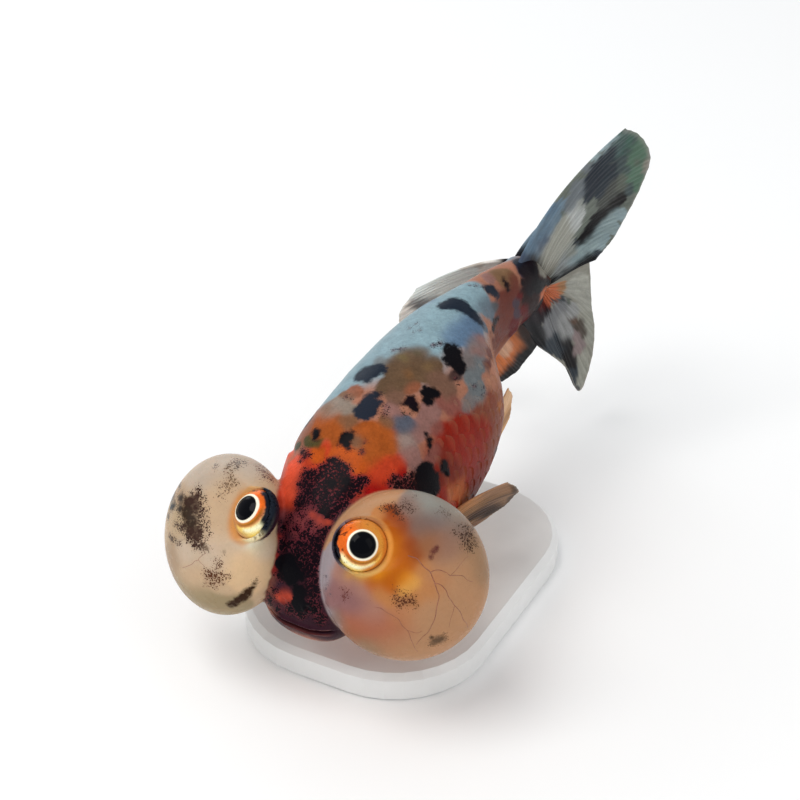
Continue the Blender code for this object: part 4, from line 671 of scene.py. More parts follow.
SAC_INK = {
    1: (
    ((17.0, 3.3, 3.0), 0.85, 0.95, INK_UMBER), ((17.7, 3.4, 2.6), 1.08, 0.9, INK_UMBER),
    ((18.5, 3.7, 2.6), 1.08, 0.9, INK_UMBER), ((19.1, 4.2, 2.7), 0.77, 0.95, INK_UMBER),
    ((17.4, 2.9, 2.1), 0.77, 0.95, INK_UMBER), ((17.4, 4.2, 4.0), 0.50, 0.95, INK_UMBER),
    ((16.7, 4.1, 4.3), 0.41, 1, INK_UMBER), ((16.7, 3.6, 3.7), 0.53, 1, INK_UMBER),
    ((18.7, 4.5, 3.3), 0.53, 1, INK_UMBER), ((19.5, 4.1, 1.9), 0.54, 1, INK_UMBER),
    ((18.0, 4.0, 3.4), 0.77, 0.95, INK_UMBER), ((21.8, 17.2, 6.1), 0.78, 0.85, INK_BROWN),
    ((22.5, 16.8, 5.2), 0.94, 0.75, INK_BROWN), ((23.0, 15.3, 5.3), 0.93, 0.7, INK_BROWN),
    ((22.2, 15.3, 6.1), 0.77, 0.8, INK_BROWN), ((23.4, 14.7, 4.8), 0.70, 0.7, INK_BROWN),
    ((23.3, 16.6, 4.2), 0.70, 0.85, INK_BROWN), ((22.6, 14.0, 5.6), 0.54, 0.9, INK_BROWN),
    ((21.2, 14.9, 7.2), 0.46, 1, INK_BROWN), ((21.1, 16.3, 7.0), 0.46, 0.95, INK_BROWN),
    ((21.9, 18.9, 4.3), 0.55, 0.95, INK_BROWN), ((18.4, 16.9, 8.8), 0.50, 1, INK_DOVE),
    ((19.2, 17.0, 8.4), 0.58, 1, INK_DOVE), ((19.2, 16.2, 8.6), 0.47, 1, INK_DOVE),
    ((17.9, 15.8, 9.3), 0.28, 1, INK_DOVE), ((17.9, 17.3, 8.9), 0.28, 1, INK_DOVE),
    ((11.0, 12.4, 11.0), 0.48, 0.6, INK_BROWN), ((11.6, 12.8, 11.1), 0.63, 0.45, INK_BROWN),
    ((12.3, 13.3, 11.0), 0.73, 0.35, INK_BROWN), ((13.2, 13.4, 10.9), 0.63, 0.4, INK_BROWN),
    ((13.9, 12.8, 10.7), 0.41, 0.3, INK_BROWN), ((14.4, 12.2, 10.6), 0.28, 0.3, INK_BROWN),
    ((13.2, 12.6, 10.8), 0.48, 0.6, INK_BROWN), ((13.3, 14.4, 10.9), 0.70, 0.9, INK_BROWN),
    ((14.3, 14.4, 10.7), 0.69, 0.9, INK_BROWN), ((14.9, 14.3, 10.6), 0.54, 1, INK_BROWN),
    ((13.5, 15.0, 10.9), 0.54, 0.95, INK_BROWN), ((14.0, 16.7, 10.4), 0.41, 1, INK_DOVE),
    ((8.5, 1.9, 3.3), 0.50, 0.9, INK_WINE), ((9.2, 1.5, 2.9), 0.63, 0.85, INK_WINE),
    ((8.9, 1.1, 2.2), 0.50, 0.9, INK_WINE), ((9.7, 1.5, 2.9), 0.44, 0.95, INK_WINE),
    ((22.1, 3.9, -5.0), 0.89, 0.3, INK_KHAKI), ((22.7, 4.4, -4.9), 0.89, 0.3, INK_KHAKI),
    ((23.2, 5.0, -5.1), 0.67, 0.35, INK_KHAKI), ((21.6, 3.4, -5.2), 0.62, 0.4, INK_KHAKI),
    ((21.6, 3.5, -4.0), 0.22, 0, INK_BROWN), ((19.9, 9.6, 6.8), 0.25, 0, INK_WINE),
    ((19.8, 10.4, 7.3), 0.22, 0, INK_WINE), ((20.1, 10.8, 7.3), 0.19, 0, INK_WINE),
    ((20.1, 11.2, 7.5), 0.17, 0, INK_WINE), ((4.8, 3.2, 2.9), 0.35, 0.9, INK_SMOKE),
    ((5.4, 2.4, 2.2), 0.41, 0.9, INK_SMOKE), ((5.2, 2.2, 1.2), 0.38, 0.9, INK_SMOKE),
    ((6.1, 1.6, 1.1), 0.28, 0.9, INK_SMOKE), ((5.4, 1.4, -1.4), 0.25, 0.9, INK_SMOKE),
    ((17, 20.5, -4), 1.77, 0.9, INK_BROWN), ((22.5, 17, -7), 1.27, 1, INK_UMBER), ((12, 20.4, -9), 1.37, 0.9, INK_BROWN)),
    -1: (
    ((-24.4, 9.1, 5.3), 0.65, 0.34, INK_STEEL), ((-25.6, 8.1, 3.2), 1.06, 0.34, INK_STEEL),
    ((-24.0, 5.8, 4.1), 1.06, 0.34, INK_STEEL), ((-24.6, 4.9, 2.4), 0.68, 0.34, INK_STEEL),
    ((-22.2, 6.3, 6.2), 1.01, 0.35, INK_OLIVE), ((-19.8, 5.2, 7.5), 1.47, 0.34, INK_UMBER_DARK),
    ((-18.6, 5.7, 8.4), 1.28, 0.4, INK_UMBER_DARK), ((-18.9, 6.9, 8.8), 0.79, 0.6, INK_UMBER_DARK),
    ((-18.0, 4.3, 7.8), 1.46, 0.35, INK_UMBER_DARK), ((-19.5, 3.8, 6.5), 1.47, 0.34, INK_OLIVE),
    ((-18.1, 2.7, 6.5), 1.64, 0.34, INK_OLIVE), ((-16.5, 3.6, 8.0), 1.28, 0.45, INK_UMBER_DARK),
    ((-15.4, 2.9, 7.7), 1.03, 0.55, INK_UMBER_DARK), ((-14.6, 2.1, 7.3), 0.84, 0.6, INK_UMBER_DARK),
    ((-16.0, 1.8, 6.5), 1.36, 0.4, INK_UMBER_DARK), ((-17.6, 1.6, 5.5), 1.37, 0.34, INK_UMBER_DARK),
    ((-19.6, 2.3, 5.1), 1.00, 0.45, INK_UMBER_DARK), ((-16.4, 4.7, 8.7), 0.81, 0.75, INK_UMBER_DARK),
    ((-17.0, 5.8, 9.1), 0.63, 0.85, INK_UMBER_DARK), ((-17.7, 0.8, 4.7), 1.00, 0.5, INK_UMBER_DARK),
    ((-16.1, 0.9, 5.5), 1.27, 0.4, INK_UMBER_DARK), ((-16.0, 0.1, 4.6), 0.86, 0.5, INK_UMBER_DARK),
    ((-14.5, 0.2, 5.1), 0.90, 0.35, INK_UMBER_DARK), ((-13.6, -0.0, 5.1), 0.58, 0.3, INK_KHAKI),
    ((-14.9, -0.2, 4.5), 0.63, 0.4, INK_UMBER_DARK), ((-21.5, 1.5, 2.3), 0.79, 0.6, INK_UMBER_DARK),
    ((-19.9, 0.6, 2.8), 0.67, 0.7, INK_UMBER_DARK), ((-22.5, 2.1, 1.8), 0.64, 0.7, INK_UMBER_DARK),
    ((-21.3, 2.9, 4.2), 0.67, 0.8, INK_UMBER_DARK), ((-14.3, 1.2, 6.5), 0.66, 0.6, INK_UMBER_DARK),
    ((-14.8, 4.2, 8.8), 0.59, 1, INK_UMBER_DARK), ((-14.0, 3.6, 8.6), 0.48, 1, INK_UMBER_DARK),
    ((-21.3, 4.7, 6.0), 1.01, 0.34, INK_OLIVE), ((-15.2, 7.8, 10.5), 0.75, 0.7, INK_KHAKI),
    ((-14.3, 8.2, 10.7), 0.91, 0.6, INK_KHAKI), ((-13.4, 8.5, 10.8), 0.90, 0.6, INK_KHAKI),
    ((-12.6, 8.7, 10.9), 0.74, 0.7, INK_KHAKI), ((-14.0, 7.0, 10.4), 0.90, 0.6, INK_KHAKI),
    ((-14.4, 6.2, 10.0), 0.90, 0.6, INK_KHAKI), ((-15.2, 6.7, 10.0), 0.58, 0.8, INK_KHAKI),
    ((-13.2, 7.5, 10.5), 0.74, 0.7, INK_KHAKI), ((-13.8, 5.8, 9.8), 0.65, 0.7, INK_KHAKI),
    ((-13.7, 5.2, 9.6), 0.42, 0.9, INK_KHAKI), ((-13.3, 9.2, 10.9), 0.58, 0.9, INK_KHAKI),
    ((-14.3, 9.3, 10.9), 0.59, 0.9, INK_KHAKI), ((-15.5, 11.6, 10.8), 0.59, 0.8, INK_KHAKI),
    ((-15.5, 10.7, 10.8), 0.49, 0.9, INK_KHAKI), ((-14.4, 10.5, 11.0), 0.65, 0.9, INK_KHAKI),
    ((-14.6, 9.9, 10.9), 0.49, 0.9, INK_KHAKI), ((-15.4, 12.7, 10.6), 0.68, 0.5, INK_DOVE),
    ((-14.6, 13.1, 10.5), 0.75, 0.45, INK_DOVE), ((-13.8, 13.3, 10.4), 0.52, 0.5, INK_DOVE),
    ((-14.3, 11.8, 10.9), 0.52, 0.8, INK_DOVE), ((-13.6, 12.1, 10.8), 0.42, 0.9, INK_DOVE),
    ((-15.8, 12.3, 10.6), 0.45, 0.6, INK_DOVE), ((-17.7, 11.2, 10.3), 0.52, 1, INK_DOVE),
    ((-12.2, 14.4, 9.4), 0.46, 0.9, INK_WINE_SOFT), ((-11.4, 13.7, 9.6), 0.52, 0.85, INK_WINE_SOFT),
    ((-12.0, 15.5, 8.1), 0.52, 0.9, INK_WINE_SOFT), ((-10.6, 13.7, 9.1), 0.68, 0.75, INK_WINE_SOFT),
    ((-9.9, 13.3, 9.0), 0.68, 0.7, INK_WINE_SOFT), ((-9.4, 13.4, 8.6), 0.65, 0.7, INK_WINE_SOFT),
    ((-11.2, 15.2, 7.9), 0.52, 0.85, INK_WINE_SOFT), ((-9.1, 13.6, 8.0), 0.41, 0.8, INK_WINE_SOFT),
    ((-10.0, 12.3, 9.7), 0.52, 0.9, INK_WINE_SOFT), ((-10.8, 0.1, 5.3), 0.37, 0.1, INK_PUTTY),
    ((-11.3, -1.2, 3.4), 0.74, 0.95, INK_UMBER), ((-11.8, -0.8, 4.0), 0.55, 1, INK_UMBER),
    ((-10.9, -0.9, 3.8), 0.55, 1, INK_UMBER), ((-13.0, -2.0, 1.9), 0.74, 0.9, INK_UMBER),
    ((-12.2, -2.2, 1.5), 1.07, 0.85, INK_UMBER), ((-13.3, -2.4, 1.0), 0.75, 0.9, INK_UMBER),
    ((-11.2, -1.9, 2.3), 0.90, 0.95, INK_UMBER), ((-11.2, -2.3, 1.1), 0.90, 0.95, INK_UMBER),
    ((-10.2, -1.9, 1.8), 0.74, 1, INK_UMBER), ((-9.7, -1.7, 1.9), 0.58, 1, INK_UMBER),
    ((-10.6, -2.3, 0.7), 0.58, 1, INK_UMBER), ((-12.2, -2.7, 0.4), 0.75, 0.95, INK_UMBER),
    ((-13.5, -2.8, -0.1), 0.49, 1, INK_UMBER), ((-11.6, -2.8, -0.2), 0.49, 1, INK_UMBER),
    ((-9.9, -2.7, -3.9), 0.52, 0.2, INK_SEPIA), ((-9.2, -2.5, -3.6), 0.61, 0.15, INK_SEPIA),
    ((-8.3, -2.2, -2.7), 0.69, 0.12, INK_SEPIA), ((-7.6, -1.7, -2.1), 0.69, 0.12, INK_SEPIA),
    ((-7.0, -1.2, -1.1), 0.64, 0.12, INK_SEPIA), ((-6.4, -0.7, -0.5), 0.56, 0.2, INK_SEPIA),
    ((-6.1, -0.2, 0.1), 0.48, 0.25, INK_SEPIA), ((-5.8, 0.2, 0.7), 0.35, 0.35, INK_SEPIA),
    ((-20, 15.4, -2), 1.90, 0.9, INK_UMBER_DARK), ((-22.5, 11.5, -7), 2.13, 0.8, INK_UMBER_DARK),
    ((-15, 17, -8), 1.27, 1, INK_UMBER)),
}


def over(base, alpha, colour):
    return base + alpha[:, None] * (linear(colour) - base)


# directions of the side view in which the markings lie as listed
ACROSS = np.array((0.8805, 0.4580, -0.1227))
UPWARD = np.array((-0.2526, 0.6720, 0.6960))
INWARD = np.cross(ACROSS, UPWARD)


def apart(q, depth):
    """Length of q, with its part along that view counted depth times."""
    return np.sqrt((q @ ACROSS) ** 2 + (q @ UPWARD) ** 2 + (depth * (q @ INWARD)) ** 2)


def patches(p, table, sharp):
    """Soft mixture of the table's colours, and how much of them there is."""
    mix, total = np.zeros((len(p), 3)), np.full(len(p), 1e-9)
    for c, r, colour in table:
        w = np.exp(-sharp * (apart(p - np.array(c), 0.45) / r) ** 2)
        mix += w[:, None] * linear(colour)
        total += w
    return mix / total[:, None], total


def spots(p, *tables):
    """Signed distance into the nearest marking, its stipple and its colour."""
    best = np.full(len(p), -9.0)
    stip, col, total = np.zeros(len(p)), np.zeros((len(p), 3)), np.full(len(p), 1e-6)
    for table, depth in tables:
        for c, r, s, ink in table:
            d = r - apart(p - np.array(c), depth)
            w = np.exp(np.clip(d, -6, 6) * 2.2)
            stip += w * s
            col += w[:, None] * linear(ink)
            total += w
            best = -smin(-best, -d, 0.5)
    return best, stip / total, col / total[:, None]


def paint(p):
    """Base colour, marking depth, stipple, marking colour and sac share at p."""
    soft = warp(p, 4.0, 1.0, 3)
    fine = warp(p, 1.8, 0.42, 40)
    base = np.tile(linear((160, 108, 86)), (len(p), 1))
    for c, r, colour, edge in BODY_BROAD:
        d = np.sqrt(((soft - np.array(c)) ** 2).sum(1))
        base = over(base, 1 - smooth(d, r - edge, r + edge), colour)
    mix, total = patches(warp(p, 2.6, 0.8, 13), BODY_AREAS, 1.5)
    base = base + smooth(total, 0.03, 0.22)[:, None] * (mix - base)
    ink, stip, col = spots(fine, (INK, 0.4), (INK_FAR, 1.0))
    for c, r in INK_CLEAR:
        d = np.sqrt(((fine - np.array(c)) ** 2).sum(1))
        ink = ink - 2.0 * (1 - smooth(d + 0.22 * noise(p, 0.5, 31), r * 0.6, r * 1.3))
    # a plum wash under the denser stippling
    base = over(base, 0.85 * smooth(ink, -0.15, 0.6) * smooth(stip, 0.2, 0.45), (94, 36, 44))
    # lips and mouth
    x, y, z = p[:, 0], p[:, 1], p[:, 2]
    s = z - mouth_height(x)
    wide = (1 - smooth(np.abs(x - 0.1), 4.4, 5.6)) * (1 - smooth(y, 1.0, 2.6))
    upper = np.exp(-((s - 0.42) / 0.13) ** 2) * wide
    lower = smooth(-s, 0.34, 0.5) * (1 - smooth(-s, 1.1, 1.5)) * wide
    base = over(base, 0.85 * lower, (84, 38, 36))
    base = over(base, 0.85 * upper, (156, 104, 98))
    ink = ink - 2.5 * upper - 1.6 * lower
    # the near-black line along the mouth's slit is painted shade
    base = over(base, (1 - smooth(np.abs(s), 0.14, 0.3)) * wide, (24, 12, 14))
    # sacs
    share = np.zeros(len(p))
    body = body_distance(p)
    for side in (1, -1):
        axes, radii = sac_axes(side)
        e = ellipsoid(p, SAC[side], axes, radii)
        w = smooth(body - e, -0.35, 0.35) * (1 - smooth(e, 1.2, 2.4))
        if side < 0:
            edge = np.interp(p @ UPWARD, (-1.35, 2.78, 7.42, 14.14), (-4.55, -3.05, -2.15, -2.2))
            w = w * (1 - smooth(p @ ACROSS - edge + 0.2 * noise(p, 0.9, 77), -0.2, 0.3))
        mix, total = patches(p + (soft - p) * 0.5, SAC_AREAS[side], 1.4 if side > 0 else 1.05)
        ground = linear(SAND if side > 0 else PARCHMENT)
        sac = ground + smooth(total, 0.02, 0.2)[:, None] * (mix - ground)
        si, ss, sc = spots(fine, (SAC_INK[side], 0.4))
        sac = sac + (0.30 * smooth(si, -0.2, 0.8))[:, None] * (sc - sac)
        base = base + w[:, None] * (sac - base)
        ink = ink + w * (si - ink)
        stip = stip + w * (ss - stip)
        col = col + w[:, None] * (sc - col)
        share = share + w * (1 - share)
    # eye rims: blue-black toward the head, warm elsewhere
    for side in (1, -1):
        across, other, aim = eye_axes(side)
        inner, lower = eye_compass(side)
        q = p - EYE[side]
        flat = np.hypot(q @ across, q @ other)
        high = q @ aim
        safe = np.maximum(flat, 0.1)
        ci, cd = (q @ inner) / safe, (q @ lower) / safe
        ring = (1 - smooth(flat, 4.35, 4.95)) * smooth(high, -0.8, 0.2)
        base = over(base, 0.85 * ring * (1 - smooth(ci, 0.1, 0.6)), (226, 156, 74) if side > 0 else (214, 160, 96))
        # painted light: the rim's lower edge below each eye is a pale cream glow
        base = over(base, 0.75 * ring * smooth(cd, 0.4, 0.9), (214, 176, 104) if side > 0 else (250, 240, 196))
        base = over(base, 0.8 * ring * smooth(-cd, 0.35, 0.85), (156, 104, 72) if side > 0 else (190, 146, 96))
        if side > 0:
            collar = smooth(ci, 0.60, 0.90) * smooth(high, -1.2, 0.0)
            base = over(base, 0.7 * smooth(ci, 0.3, 0.62) * smooth(high, -1.2, 0.0) * (1 - smooth(flat, 4.5, 5.4)), (112, 104, 118))
            base = over(base, collar * (1 - smooth(flat, 4.05, 4.45)), (24, 26, 34))
        else:
            collar = smooth(ci, 0.30, 0.62) * smooth(high, -1.6, 0.0)
            base = over(base, collar * (1 - smooth(flat, 4.5, 5.6)), (26, 32, 42))
        if side < 0:
            base = over(base, 0.7 * (1 - smooth(flat, 4.7, 5.6)) * smooth(high, -0.8, 0.2) * smooth(-ci, 0.1, 0.7), (202, 132, 64))
        ink = ink - 3.0 * (1 - smooth(flat, 4.4, 5.0)) * smooth(high, -0.8, 0.2)
    return base, np.clip(ink, -3, 3), stip, col, share


# --------------------------------------------------------------- mesh helpers
def mesh_object(name, verts, faces, smooth_shade=True):
    """Object from fish-frame points; faces is an index array or list."""
    mesh = bpy.data.meshes.new(name)
    mesh.from_pydata(place(verts).tolist(), [], [list(map(int, f)) for f in faces])
    mesh.update()
    if smooth_shade:
        mesh.polygons.foreach_set("use_smooth", np.ones(len(mesh.polygons), bool))
    obj = bpy.data.objects.new(name, mesh)
    bpy.context.scene.collection.objects.link(obj)
    return obj


def put(mesh, name, values, kind):
    a = mesh.attributes.new(name, kind, "POINT")
    v = np.asarray(values, np.float32)
    if kind == "FLOAT_COLOR":
        v = np.concatenate([np.clip(v, 0, 1), np.ones((len(v), 1), np.float32)], 1)
        a.data.foreach_set("color", v.ravel())
    elif kind == "FLOAT_VECTOR":
        a.data.foreach_set("vector", v.ravel())
    else:
        a.data.foreach_set("value", v.ravel())


def put_paint(mesh, p):
    base, ink, stip, col, share = paint(p)
    put(mesh, "base", base, "FLOAT_COLOR")
    put(mesh, "inkcol", col, "FLOAT_COLOR")
    put(mesh, "ink", ink, "FLOAT")
    put(mesh, "stip", stip, "FLOAT")
    put(mesh, "sac", share, "FLOAT")


def corner_uv(mesh, uv):
    """uv is one pair for each face corner."""
    layer = mesh.uv_layers.new(name="OFBake")
    layer.data.foreach_set("uv", np.asarray(uv, np.float32).ravel())


def corner_arrays(mesh):
    n = len(mesh.loops)
    vert = np.empty(n, np.int32)
    mesh.loops.foreach_get("vertex_index", vert)
    start = np.empty(len(mesh.polygons), np.int32)
    total = np.empty(len(mesh.polygons), np.int32)
    mesh.polygons.foreach_get("loop_start", start)
    mesh.polygons.foreach_get("loop_total", total)
    return vert, np.repeat(np.arange(len(total)), total)


# ------------------------------------------------------------------ materials
class Look:
    """A material and short ways to make its nodes."""

    def __init__(self, name, rough=0.4, **sockets):
        self.mat = bpy.data.materials.new(name)
        self.mat.use_nodes = True
        self.tree = self.mat.node_tree
        self.bsdf = self.tree.nodes["Principled BSDF"]
        self.set(Roughness=rough, **sockets)
        self._mm = None

    def set(self, **sockets):
        for key, value in sockets.items():
            self.bsdf.inputs[key.replace("_", " ")].default_value = value

    def node(self, kind, **props):
        n = self.tree.nodes.new(kind)
        for k, v in props.items():
            setattr(n, k, v)
        return n

    def feed(self, socket, value):
        if isinstance(value, (int, float)):
            socket.default_value = value
        elif isinstance(value, tuple):
            socket.default_value = value if len(value) == len(socket.default_value) else (*value, 1.0)
        else:
            self.tree.links.new(value, socket)

    def mm(self):
        """Object coordinates in millimetres."""
        if self._mm is None:
            tc = self.node("ShaderNodeTexCoord")
            v = self.node("ShaderNodeVectorMath", operation="SCALE")
            self.feed(v.inputs[0], tc.outputs["Object"])
            v.inputs["Scale"].default_value = 1000.0
            self._mm = v.outputs[0]
        return self._mm

    def attr(self, name, out="Color"):
        return self.node("ShaderNodeAttribute", attribute_name=name).outputs[out]

    def noise(self, scale, detail=3.0, rough=0.5, vec=None, distort=0.0):
        n = self.node("ShaderNodeTexNoise")
        self.feed(n.inputs["Vector"], vec or self.mm())
        n.inputs["Scale"].default_value = scale
        n.inputs["Detail"].default_value = detail
        n.inputs["Roughness"].default_value = rough
        n.inputs["Distortion"].default_value = distort
        return n.outputs["Fac"]

    def cells(self, scale, vec=None, feature="F1", random=1.0):
        n = self.node("ShaderNodeTexVoronoi", feature=feature)
        self.feed(n.inputs["Vector"], vec or self.mm())
        n.inputs["Scale"].default_value = scale
        n.inputs["Randomness"].default_value = random
        return n.outputs["Distance"]

    def math(self, op, a, b=0.0, clamp=False):
        n = self.node("ShaderNodeMath", operation=op, use_clamp=clamp)
        self.feed(n.inputs[0], a)
        self.feed(n.inputs[1], b)
        return n.outputs[0]

    def vec(self, op, a, b):
        n = self.node("ShaderNodeVectorMath", operation=op)
        self.feed(n.inputs[0], a)
        self.feed(n.inputs[1], b)
        return n.outputs[0]

    def span(self, x, lo, hi, to_lo=0.0, to_hi=1.0, kind="SMOOTHSTEP"):
        n = self.node("ShaderNodeMapRange", interpolation_type=kind)
        self.feed(n.inputs["Value"], x)
        self.feed(n.inputs["From Min"], lo)
        self.feed(n.inputs["From Max"], hi)
        self.feed(n.inputs["To Min"], to_lo)
        self.feed(n.inputs["To Max"], to_hi)
        return n.outputs["Result"]

    def mix(self, fac, a, b, blend="MIX"):
        n = self.node("ShaderNodeMix", data_type="RGBA", blend_type=blend)
        self.feed(n.inputs[0], fac)
        self.feed(n.inputs[6], a)
        self.feed(n.inputs[7], b)
        return n.outputs[2]

    def blend(self, fac, a, b):
        n = self.node("ShaderNodeMix", data_type="FLOAT")
        self.feed(n.inputs[0], fac)
        self.feed(n.inputs[2], a)
        self.feed(n.inputs[3], b)
        return n.outputs[0]

    def bump(self, height, distance, strength=1.0, after=None):
        n = self.node("ShaderNodeBump")
        n.inputs["Strength"].default_value = strength
        n.inputs["Distance"].default_value = distance
        self.feed(n.inputs["Height"], height)
        if after is not None:
            self.feed(n.inputs["Normal"], after)
        return n.outputs["Normal"]


def hide_look(name, with_rim):
    """Wet fish skin, shared by the skin and the scales."""
    k = Look(name, rough=0.34)
    k.set(Coat_Weight=0.06, Coat_Roughness=0.14, Coat_IOR=1.33, Specular_IOR_Level=0.03,
          Subsurface_Scale=0.0012, Subsurface_Radius=(1.0, 0.5, 0.34))
    ink, stip, sac = k.attr("ink", "Fac"), k.attr("stip", "Fac"), k.attr("sac", "Fac")
    # soft mottling of the ground colour
    m1 = k.noise(0.55, 4.0, 0.6)
    m2 = k.noise(2.3, 3.0, 0.6)
    m = k.math("ADD", k.math("MULTIPLY", m1, 0.55), k.math("MULTIPLY", m2, 0.45))
    gain = k.blend(sac, k.span(m, 0.3, 0.7, 0.74, 1.22, "LINEAR"), k.span(m, 0.3, 0.7, 0.94, 1.05, "LINEAR"))
    grey = k.node("ShaderNodeCombineColor")
    for i in range(3):
        k.feed(grey.inputs[i], gain)
    ground = k.mix(1.0, k.attr("base"), grey.outputs[0], "MULTIPLY")
    if with_rim:
        rim = k.attr("rim", "Fac")
        ground = k.mix(k.math("MULTIPLY", rim, 0.10), ground, (0.74, 0.46, 0.28, 1.0), "SCREEN")
    # solid middles of the markings, with ragged edges
    ragged = k.math("MULTIPLY", k.math("SUBTRACT", k.noise(1.5, 6.0, 0.74), 0.5), k.span(stip, 0.1, 0.6, 1.0, 2.2, "LINEAR"))
    depth = k.math("SUBTRACT", k.math("MINIMUM", ink, 0.85), k.math("MULTIPLY", k.span(stip, 0.14, 0.60, 0.0, 1.0, "LINEAR"), 1.25))
    solid = k.span(k.math("ADD", depth, ragged), -0.44, 0.22)
    # granules round them, growing and joining toward the middle
    wob = k.node("ShaderNodeTexNoise")
    k.feed(wob.inputs["Vector"], k.mm())
    wob.inputs["Scale"].default_value = 1.6
    wob.inputs["Detail"].default_value = 2.0
    at = k.vec("ADD", k.mm(), k.vec("MULTIPLY", k.vec("SUBTRACT", wob.outputs["Color"], (0.5, 0.5, 0.5)), (0.9, 0.9, 0.9)))
    cell = k.cells(3.3, at)
    patchy = k.math("MULTIPLY", k.math("SUBTRACT", k.noise(1.1, 3.0, 0.6), 0.5), 1.2)
    size = k.span(k.math("ADD", ink, patchy), -0.55, 0.75, 0.08, k.span(stip, 0.2, 0.8, 0.80, 0.60, "LINEAR"), "LINEAR")
    dots = k.span(k.math("SUBTRACT", size, cell), -0.05, 0.07)
    dots = k.math("MULTIPLY", dots, k.span(stip, 0.12, 0.45))
    dark = k.math("MAXIMUM", solid, dots)
    tone = k.mix(k.span(k.noise(3.4, 3.0, 0.6), 0.35, 0.7), k.attr("inkcol"),
                 k.mix(0.008, k.attr("inkcol"), k.attr("base")))
    colour = k.mix(dark, ground, tone)
    k.feed(k.bsdf.inputs["Base Color"], colour)
    # finish
    k.feed(k.bsdf.inputs["Subsurface Weight"], k.blend(sac, 0.05, 0.22))
    wet = k.span(k.noise(1.1, 4.0, 0.6), 0.3, 0.7, 0.26, 0.44, "LINEAR")
    k.feed(k.bsdf.inputs["Roughness"], k.blend(sac, wet, k.span(k.noise(0.7, 3.0), 0.3, 0.7, 0.2, 0.3, "LINEAR")))
    pores = k.math("ADD", k.math("MULTIPLY", k.noise(3.2, 4.0, 0.6), 0.6), k.math("MULTIPLY", dark, 0.25))
    pores = k.math("MULTIPLY", pores, k.math("SUBTRACT", 1.0, k.math("MULTIPLY", sac, 0.8)))
    n1 = k.bump(pores, 0.00009, 0.8)
    k.feed(k.bsdf.inputs["Normal"], n1)
    return k.mat


# ----------------------------------------------------------------------- skin
def refine(verts, faces, wanted):
    """Split the faces chosen by wanted(centres) once more."""
    mesh = bpy.data.meshes.new("refine")
    mesh.from_pydata(verts.tolist(), [], faces.tolist())
    bm = bmesh.new()
    bm.from_mesh(mesh)
    bpy.data.meshes.remove(mesh)
    centres = np.array([f.calc_center_median() for f in bm.faces])
    pick = wanted(centres)
    bm.faces.ensure_lookup_table()
    edges = {e for i in np.flatnonzero(pick) for e in bm.faces[i].edges}
    bmesh.ops.subdivide_edges(bm, edges=list(edges), cuts=1, use_grid_fill=True)
    bm.verts.index_update()
    v = np.array([x.co for x in bm.verts])
    f = [[x.index for x in face.verts] for face in bm.faces]
    bm.free()
    return v, f


def near_detail(c):
    mouth = (np.abs(c[:, 0]) < 6.5) & (c[:, 1] < 3.2) & (c[:, 2] < 0.0)
    pick = mouth
    for side in (1, -1):
        across, other, aim = eye_axes(side)
        q = c - EYE[side]
        flat = np.hypot(q @ across, q @ other)
        pick = pick | ((np.abs(flat - 4.1) < 0.9) & ((q @ aim) > -1.6) & ((q @ aim) < 3.5))
    return pick


STEP = 0.36
reach = []
for side in (1, -1):
    axes, radii = sac_axes(side)
    half_box = np.sqrt(sum((a * r) ** 2 for a, r in zip(axes, radii)))
    reach += [SAC[side] - half_box, SAC[side] + half_box]
reach += [(-14.0, 0.0, -23.0), (14.0, 86.0, 14.4)]
points, quads = surface_net(np.min(reach, 0) - 1.3, np.max(reach, 0) + 1.3, STEP)
points = settle(points, 4)
points, quads = refine(points, quads, near_detail)
points = settle(points, 2)
skin = mesh_object("fish_skin", points, quads)
put_paint(skin.data, points)


def skin_uv():
    """The body unrolled beside front and back views of each sac."""
    mesh = skin.data
    vert, face = corner_arrays(mesh)
    count = np.bincount(face).astype(float)
    centre = np.stack([np.bincount(face, points[vert, k]) / count for k in range(3)], 1)
    body = body_distance(centre)
    label = np.zeros(len(centre), int)
    sacs = {}
    for side, name in ((1, 1), (-1, 3)):
        axes, radii = sac_axes(side)
        e = ellipsoid(centre, SAC[side], axes, radii)
        mine = e < body
        front = ((centre - SAC[side]) @ axes[1]) > 0
        label[mine & front] = name
        label[mine & ~front] = name + 1
        sacs[name] = sacs[name + 1] = (side, axes, radii)
    p, lab = points[vert], label[face]
    top, low, half, shift = station(p[:, 1])
    mid, tall = (top + low) / 2, (top - low) / 2
    ang = np.arctan2((p[:, 0] - shift) / half, (p[:, 2] - mid) / tall) / (2 * math.pi)
    ca = body_angle(centre)[face] / 360.0
    ang = ang + np.round(ca - ang)
    rn = (np.abs((p[:, 0] - shift) / half) ** POWER + np.abs((p[:, 2] - mid) / tall) ** POWER) ** (1 / POWER)
    rn = np.clip(rn, 0, 1)
    v = (p[:, 1] + np.where(p[:, 1] < 40, 1, -1) * 6.0 * (rn - 1) + 7) / 100.0
    uv = np.stack([0.02 + 0.62 * (ang + 0.5), 0.01 + 0.97 * np.clip(v, 0, 1)], 1)
    for name, (side, axes, radii) in sacs.items():
        m = lab == name
        q = (p[m] - SAC[side])
        n = np.stack([(q @ a) / r for a, r in zip(axes, radii)], 1)
        n = n / np.linalg.norm(n, axis=1)[:, None]
        sgn = 1 if name % 2 else -1
        polar = np.arccos(np.clip(n[:, 1] * sgn, -1, 1)) / (math.pi / 2)
        d = np.stack([n[:, 0], n[:, 2]], 1)
        d = d / np.maximum(np.linalg.norm(d, axis=1), 1e-6)[:, None]
        row = name - 1
        uv[m] = np.array((0.83, 0.125 + 0.25 * row)) + 0.115 * d * np.minimum(polar, 1.03)[:, None]
    corner_uv(mesh, np.clip(uv, 0.0, 1.0))


